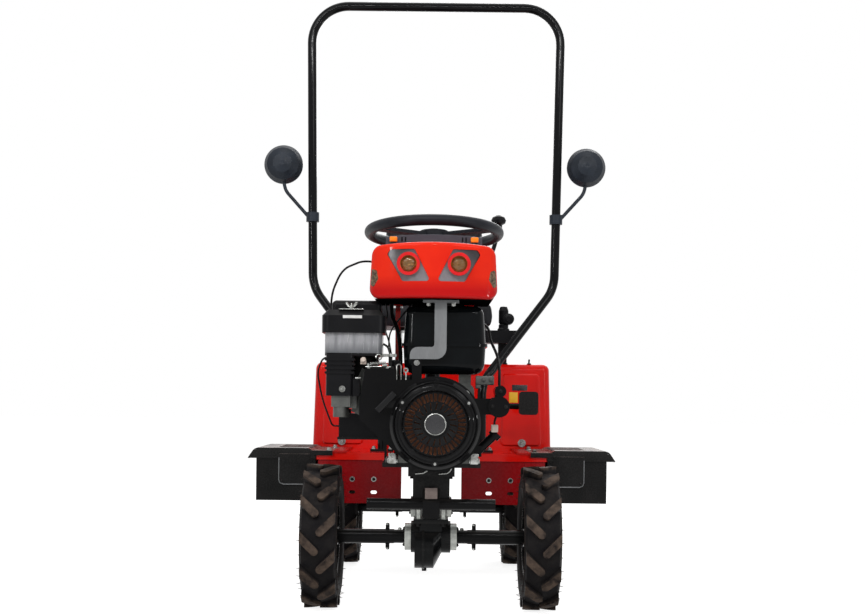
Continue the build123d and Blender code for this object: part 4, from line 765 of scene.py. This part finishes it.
# blank plate on the bumper post, bright engine feet and wire clips above it
postPlate = {"half": 17, "y": (-688.2, -686.6), "z": (332, 362)}
shape = bmesh.new()
slab(shape, (-postPlate["half"], postPlate["y"][0], postPlate["z"][0]),
     (postPlate["half"], postPlate["y"][1], postPlate["z"][1]), 0.5)
newPiece("postBlankPlate", "front_half", dustyPlate, shape)
feet = {"x": (-104, 120), "clips": (((-44, 401), (8, 423)), ((20, 401), (57, 420))), "clipWire": 2.2}
shape = bmesh.new()
for x in feet["x"]:
    slab(shape, (x - 18, -694, 430.4), (x + 12, -640, 443), 2)
    slab(shape, (x - 14, -696, 428), (x + 8, -690, 458), 2)
    boltHead(shape, (x - 3, -696, 450), facingFront, 10, 6, 8)
for (x, z), (tipX, tipZ) in feet["clips"]:
    clip = [(x, -692, z), (x + 22, -693, z + 2), (x + 30, -695, z + 7), (tipX, -697, tipZ)]
    wire(shape, clip, feet["clipWire"])
newPiece("engineFeet", "front_half", zincPlate, shape)

# starter: through bolts and terminal nuts
shape = bmesh.new()
for spot in ((163, -740, 587), (199, -740, 587), (185, -726, 629)):
    boltHead(shape, spot, facingFront, 8, 5, 6)
newPiece("starterNuts", "front_half", blackEnamel, shape, 30)

# blank plates by the brake pedal, hooks on the box
shape = bmesh.new()
slab(shape, (278, 292.6, 638), (331, 294.2, 658), 0.5)
newPiece("blankPlateDark", "rear_half", blankBlack, shape)
shape = bmesh.new()
slab(shape, (268, 292.8, 596), (298, 294.2, 632), 0.5)
newPiece("blankPlateYellow", "rear_half", blankYellow, shape)
hooks = {
    "x": (255, 338), "y": 322, "z": 731, "foot": (7, 9), "wire": 3,
    "bend": [(0, 2), (0, 10), (-4, 15), (-11, 14)]}
shape = bmesh.new()
wide, deep = hooks["foot"]
for side in (-1, 1):
    for x in hooks["x"]:
        slab(shape, (side * x - wide, hooks["y"] - deep, hooks["z"] - 0.5),
             (side * x + wide, hooks["y"] + deep, hooks["z"] + 3), 1)
        wire(shape, [(side * x, hooks["y"] + dy, hooks["z"] + dz) for dy, dz in hooks["bend"]], hooks["wire"])
newPiece("boxTopHooks", "rear_half", mouldedBlack, shape)

# foot plates: ribbed rubber mats in their recesses
mats = {"centre": 445, "half": 52, "front": 14, "rear": 236, "pitch": 13, "rib": 6, "z": 441}
shape = bmesh.new()
inner, outer = mats["centre"] - mats["half"], mats["centre"] + mats["half"]
slabPair(shape, (inner, outer), (mats["front"], mats["rear"]), (mats["z"] - 0.4, mats["z"] + 0.9), 0.5)
y = mats["front"] + 8
while y < mats["rear"] - 6:
    ribY = (y - mats["rib"] / 2, y + mats["rib"] / 2)
    slabPair(shape, (inner + 4, outer - 4), ribY, (mats["z"], mats["z"] + 2.6), 0.9)
    y += mats["pitch"]
newPiece("footMats", "rear_half", treadMat, shape)

# foot plates: folded front lip of each tab, and the plate riveted on each splash panel
tab = {"x": (318, 392), "y": (-53, -49.5), "z": (420, 436)}
splash = {"x": (392, 492), "y": (-52.4, -49.6), "z": (326, 424), "rivet": 10, "bead": 1.7}
rivet = [(4.5, -0.2), (4.2, 1), (2.6, 2.2), (0, 2.6)]
shape = bmesh.new()
beads = bmesh.new()
slabPair(shape, tab["x"], tab["y"], tab["z"], 1.2)
slabPair(shape, splash["x"], splash["y"], splash["z"], 0.9)
(near, far), (low, high) = splash["x"], splash["z"]
face = splash["y"][0]
for side in (-1, 1):
    for x in (near + splash["rivet"], far - splash["rivet"]):
        turned(shape, rivet, (side * x, face, low + splash["rivet"]), facingFront, 14)
    edge = [(near, low), (far - 14, low), (far - 4, low + 4), (far, low + 14), (far, high - 12)]
    wire(beads, [(side * x, face, z) for x, z in edge], splash["bead"])
newPiece("splashPlatesAndTabLips", "rear_half", footEnamel, shape)
newPiece("splashPlateBeads", "rear_half", greyPaint, beads)

# apron: turned-in ears that close its upper corners, in the apron's red darkened with painted shade
ears = {"x": (300, 378), "y": (-40, -36), "z": (384, 407), "end": (366, 378), "endZ": (384, 428)}
shape = bmesh.new()
slabPair(shape, ears["x"], ears["y"], ears["z"], 1)
slabPair(shape, ears["end"], ears["y"], ears["endZ"], 1)
newPiece("apronEars", "rear_half", apronPaintedShade, shape)

# dash: raised brow over the cowl, low and high at its ends and middle, with two pairs of vent slots
brow = {"half": 137, "low": (1041, 1053), "high": (1066, 1074), "y": (-559.5, -517), "steps": 28}
sections = []
front, rear = brow["y"]
for i in range(brow["steps"] + 1):
    across = -1 + 2 * i / brow["steps"]
    crown = 1 - across * across
    low = brow["low"][0] + (brow["low"][1] - brow["low"][0]) * crown
    high = brow["high"][0] + (brow["high"][1] - brow["high"][0]) * crown
    x = across * brow["half"]
    sections.append([
        (x, front, low), (x, front, high - 2), (x, front + 2, high), (x, rear, high), (x, rear, low)])
shape = bmesh.new()
skinned(shape, sections)
newPiece("dashBrow", "front_half", dashGrey, shape)
vents = {"x": (81, 91), "half": 2.25, "y": (-560.3, -558.9), "z": (1052, 1066)}
shape = bmesh.new()
for x in vents["x"]:
    slabPair(shape, (x - vents["half"], x + vents["half"]), vents["y"], vents["z"], 0.4)
newPiece("dashVents", "front_half", mouldedBlack, shape)

# indicators: orange lens over a black foot on each side
blinker = {"lensX": (104, 126), "lensY": (-575, -559), "lensZ": (1050, 1065),
           "footX": (106, 124), "footY": (-573, -559), "footZ": (1040.5, 1051)}
shape = bmesh.new()
slabPair(shape, blinker["lensX"], blinker["lensY"], blinker["lensZ"], 3)
newPiece("indicatorLenses", "front_half", orangeLens, shape)
shape = bmesh.new()
slabPair(shape, blinker["footX"], blinker["footY"], blinker["footZ"], 2)
newPiece("indicatorFeet", "front_half", mouldedBlack, shape)

# hood: a black sheet on its underside that stands in for the shade inside it, cut to the bow of its nose
shadeSheet = {"half": 158, "nose": -769, "bow": 0.00165, "rear": -490, "z": (874.4, 876.2), "steps": 20}
sections = []
low, high = shadeSheet["z"]
for i in range(shadeSheet["steps"] + 1):
    x = shadeSheet["half"] * (2 * i / shadeSheet["steps"] - 1)
    front = shadeSheet["nose"] + shadeSheet["bow"] * x * x
    sections.append([(x, front, low), (x, front, high), (x, shadeSheet["rear"], high), (x, shadeSheet["rear"], low)])
shape = bmesh.new()
skinned(shape, sections)
newPiece("hoodShadeSheet", "front_half", hoodShadeBlack, shape)

# engine: tin cover between the scroll and the tank, with two stiffening ribs
tin = {"x": (-112, -89), "y": (-706, -642), "z": (640, 712), "stepX": -54, "stepZ": 671, "ribs": (682, 697)}
shape = bmesh.new()
(left, right), (front, rear), (low, high) = tin["x"], tin["y"], tin["z"]
slab(shape, (left, front, low), (right, rear, high), 4)
slab(shape, (left, front, low), (tin["stepX"], rear, tin["stepZ"]), 4)
for z in tin["ribs"]:
    slab(shape, (left + 4, front - 2, z - 2), (right - 4, front + 3, z + 2), 1.2)
newPiece("cylinderTin", "front_half", stovedBlack, shape)

# wiring: split ribbed sleeve from the dash down to the engine, and two thin leads beside it
loom = {
    "path": [(-118, -572, 876), (-116, -574, 840), (-100, -578, 800), (-92, -580, 750), (-90, -582, 700),
             (-86, -584, 664)],
    "radius": 5.5, "rib": 1.1, "lead": 2.2,
    "leads": [
        [(-134, -574, 876), (-130, -580, 840), (-136, -590, 806), (-124, -600, 768), (-116, -610, 730)],
        [(-60, -560, 876), (-84, -566, 846), (-110, -570, 812), (-122, -580, 786), (-124, -596, 752)]]}
shape = bmesh.new()
sleeve = smoothLine(loom["path"], 8)
wire(shape, sleeve, loom["radius"], 10)
core, crown = loom["radius"] - 1, loom["radius"] + loom["rib"]
for one, two in zip(sleeve, sleeve[1:]):
    turned(shape, [(core, -1.2), (crown, -0.8), (crown, 0.8), (core, 1.2)], one, two - one, 12)
for lead in loom["leads"]:
    wire(shape, smoothLine(lead, 6), loom["lead"])
newPiece("wiringSleeve", "front_half", cableRubber, shape)

# starter: cream plug on its short lead, alloy bracket above it
plug = {
    "low": (162, -702, 517), "high": (181, -689, 538), "latch": ((165, -704, 524), (178, -701, 533)),
    "lead": [(171, -696, 537), (171, -697, 546), (173, -698, 553), (176, -698, 562)], "leadRadius": 3.2}
shape = bmesh.new()
slab(shape, plug["low"], plug["high"], 2)
slab(shape, *plug["latch"], 1)
newPiece("starterPlug", "front_half", creamNylon, shape)
shape = bmesh.new()
wire(shape, plug["lead"], plug["leadRadius"], 10)
newPiece("starterPlugLead", "front_half", cableRubber, shape)
bracketPlate = {
    "low": (118, -692, 646), "high": (169, -680, 671), "leg": ((118, -690, 636), (133, -676, 652)),
    "bolts": ((140, 660), (160, 660))}
shape = bmesh.new()
slab(shape, bracketPlate["low"], bracketPlate["high"], 3)
slab(shape, *bracketPlate["leg"], 3)
for x, z in bracketPlate["bolts"]:
    boltHead(shape, (x, bracketPlate["low"][1], z), facingFront, 8, 5, 6)
newPiece("starterBracket", "front_half", castAlloy, shape)

# throttle: return curl, rail with screws, rod in clips, hook, eye and choke knob on the tinware's top
throttle = {
    "top": 686, "curl": (-146, -734, 718), "curlRadius": 7.5, "rail": (-137, -98), "railY": (-735, -729),
    "railZ": (719, 727), "screws": (-131, -118, -105), "rod": 1.9, "rodX": (-180, -150, -112), "rodY": -746,
    "rodZ": 691, "clips": (-172, -122), "hook": (-91, 693), "hookRadius": 6, "hookFoot": 656, "hookY": -744,
    "eyeX": -72, "eyeZ": 683, "tag": ((-210, -727.5, 658.5), (-194, -722.5, 663.5))}
shape = bmesh.new()
x, y, z = throttle["curl"]
curl = []
for i in range(15):
    turn = math.radians(200 - 20 * i)
    curl.append((x + throttle["curlRadius"] * math.cos(turn), y, z + throttle["curlRadius"] * math.sin(turn)))
wire(shape, curl, 2.0)
slab(shape, (throttle["rail"][0], throttle["railY"][0], throttle["railZ"][0]),
     (throttle["rail"][1], throttle["railY"][1], throttle["railZ"][1]), 1)
for x in throttle["screws"]:
    boltHead(shape, (x, throttle["railY"][0], sum(throttle["railZ"]) / 2), facingFront, 6, 3, 4)
rodY, rodZ = throttle["rodY"], throttle["rodZ"]
near, middle, far = throttle["rodX"]
wire(shape, [(near, rodY, rodZ), (middle, rodY, rodZ + 1), (far, rodY, rodZ)], throttle["rod"])
for x in throttle["clips"]:
    slab(shape, (x - 4, rodY - 4, throttle["top"] - 0.4), (x + 4, rodY + 4, rodZ + 3), 1.4)
turned(shape, [(0, 0), (4.2, 0), (4.2, 13), (3, 14), (0, 14)], (-136, rodY - 3, rodZ + 4), (1, 0, 0), 14)
x, z = throttle["hook"]
bend = []
for degrees in range(0, 181, 30):
    turn = math.radians(degrees)
    bend.append((x - throttle["hookRadius"] * math.cos(turn), z + throttle["hookRadius"] * math.sin(turn)))
legs = [(bend[0][0], throttle["hookFoot"])] + bend + [(bend[-1][0], throttle["hookFoot"])]
wire(shape, [(x, throttle["hookY"], z) for x, z in legs], 1.8)
stem = (throttle["eyeX"], throttle["hookY"], throttle["hookFoot"])
turned(shape, [(0, 0), (2.4, 0), (2.4, 22), (0, 22)], stem, facingUp, 10)
ring = (throttle["eyeX"], throttle["hookY"], throttle["eyeZ"])
turned(shape, [(3.4, -2), (7, -2), (7.4, 0), (7, 2), (3.4, 2), (3.4, -2)], ring, (0, 1, 0), 20)
slab(shape, *throttle["tag"], 1.6)
newPiece("throttleFittings", "front_half", zincPlate, shape)
choke = {
    "spot": (-188, -728, 710), "foot": ((-196, -727, 698), (-180, -723, 708)),
    "knob": [(0, -9), (5, -8.6), (7.5, -6), (8, -2), (6, 0.5), (4, 1), (4, 8), (0, 8)]}
shape = bmesh.new()
turned(shape, choke["knob"], choke["spot"], (0, 1, 0), 20)
slab(shape, *choke["foot"], 1.5)
newPiece("chokeKnob", "front_half", creamNylon, shape)
print("engine fittings in place")

# steering wheel: domed centre cap
cap = {
    "centre": (0, -370, 1100), "tilt": 4.5,
    "dome": [(0, 13), (14, 12.4), (24, 10.4), (29, 7.4), (30, 5), (30, 3), (0, 3)]}
lean = math.radians(cap["tilt"])
shape = bmesh.new()
turned(shape, cap["dome"], cap["centre"], (0, math.sin(lean), math.cos(lean)), 40)
newPiece("wheelCentreCap", "steering_wheel", mouldedBlack, shape)
print("trim fitted")

# camera: straight ahead of the tractor, framing by lens shift
camera = {"spot": (0.0, -4.29, 0.609), "lens": 54.68, "shift": (0.0003, 0.1046), "roll": -0.66}
eye = bpy.data.objects.new("camera", bpy.data.cameras.new("camera"))
scene.collection.objects.link(eye)
eye.location = camera["spot"]
eye.rotation_euler = (math.radians(90), math.radians(camera["roll"]), 0)
eye.data.sensor_width = 36
eye.data.lens = camera["lens"]
eye.data.shift_x, eye.data.shift_y = camera["shift"]
scene.camera = eye

# white studio: seen white, lights softly
studio = {"sky": 0.36, "floor": "#c6c6c5", "fibre": "#cbcbca", "size": 30.0, "white": 1.0, "glow": 0.84}
world = bpy.data.worlds.new("studio")
scene.world = world
world.use_nodes = True
sky = world.node_tree
sky.nodes.clear()
ray = addNode(sky, "ShaderNodeLightPath")
seen = addNode(sky, "ShaderNodeMath", {"operation": "MAXIMUM"}, {
    0: (ray, "Is Camera Ray"), 1: (ray, "Is Transmission Ray")})
shown = addNode(sky, "ShaderNodeMath", {"operation": "MAXIMUM"}, {
    0: (seen, "Value"), 1: (ray, "Is Glossy Ray")})
level = addNode(sky, "ShaderNodeMapRange", {}, {
    "Value": (shown, "Value"), "To Min": studio["sky"], "To Max": studio["white"]})
dome = addNode(sky, "ShaderNodeBackground", {}, {"Color": (1, 1, 1, 1), "Strength": (level, "Result")})
addNode(sky, "ShaderNodeOutputWorld", {}, {"Surface": (dome, "Background")})

# floor: pale paper that also glows a little to the camera, so only the shadow shows
span = studio["size"]
floorMesh = bpy.data.meshes.new("floor")
corners = [(-span, -span, 0), (span, -span, 0), (span, span, 0), (-span, span, 0)]
floorMesh.from_pydata(corners, [], [(0, 1, 2, 3)])
floor = bpy.data.objects.new("floor", floorMesh)
scene.collection.objects.link(floor)
paper = bpy.data.materials.new("paleStudioPaper")
paper.use_nodes = True
tree = paper.node_tree
tree.nodes.clear()
ray = addNode(tree, "ShaderNodeLightPath")
seen = addNode(tree, "ShaderNodeMath", {"operation": "MAXIMUM"}, {
    0: (ray, "Is Camera Ray"), 1: (ray, "Is Transmission Ray")})
shown = addNode(tree, "ShaderNodeMath", {"operation": "MAXIMUM"}, {
    0: (seen, "Value"), 1: (ray, "Is Glossy Ray")})
place = addNode(tree, "ShaderNodeTexCoord")
fibre = addNode(tree, "ShaderNodeTexNoise", {}, {"Vector": (place, "Object"), "Scale": 1.2, "Detail": 3.0})
tone = addNode(tree, "ShaderNodeMix", {"data_type": "RGBA"}, {
    0: (fibre, "Fac"), 6: hexColour(studio["floor"]), 7: hexColour(studio["fibre"])})
matt = addNode(tree, "ShaderNodeBsdfDiffuse", {}, {"Color": (tone, 2)})
glowLevel = addNode(tree, "ShaderNodeMath", {"operation": "MULTIPLY"}, {
    0: (shown, "Value"), 1: studio["glow"]})
glow = addNode(tree, "ShaderNodeEmission", {}, {"Color": (1, 1, 1, 1), "Strength": (glowLevel, "Value")})
both = addNode(tree, "ShaderNodeAddShader", {}, {0: (matt, "BSDF"), 1: (glow, "Emission")})
addNode(tree, "ShaderNodeOutputMaterial", {}, {"Surface": (both, "Shader")})
floorMesh.materials.append(paper)

# soft boxes give the level, narrow strips draw the bright lines on gloss; size is width and height
target = Vector((0, 0, 0.8))
lamps = [
    {"name": "keySoftbox", "spot": (-2.0, -3.6, 3.8), "size": (2.2, 2.2), "power": 64},
    {"name": "fillSoftbox", "spot": (2.4, -3.6, 3.4), "size": (2.2, 2.2), "power": 58},
    {"name": "topSoftbox", "spot": (0.2, 0.6, 4.2), "size": (3.0, 3.0), "power": 40},
    {"name": "rearSoftbox", "spot": (0.8, 4.0, 3.0), "size": (2.4, 2.0), "power": 70},
    {"name": "leftStrip", "spot": (-2.3, -2.6, 1.5), "size": (0.05, 0.7), "power": 15, "tilt": 52},
    {"name": "rightStrip", "spot": (2.6, -2.4, 0.9), "size": (0.05, 0.6), "power": 12, "tilt": -40},
    {"name": "headStrip", "spot": (0.0, -2.9, 2.6), "size": (1.5, 0.05), "power": 24}]
for lamp in lamps:
    light = bpy.data.lights.new(lamp["name"], "AREA")
    light.shape = "RECTANGLE"
    light.size, light.size_y = lamp["size"]
    light.energy = lamp["power"]
    box = bpy.data.objects.new(lamp["name"], light)
    scene.collection.objects.link(box)
    box.location = lamp["spot"]
    aim = (target - box.location).to_track_quat("-Z", "Y")
    tilt = Quaternion((0, 0, 1), math.radians(lamp.get("tilt", 0)))
    box.rotation_euler = (aim @ tilt).to_euler()
print("camera, floor and lights placed")

scene.view_settings.view_transform = "Standard"
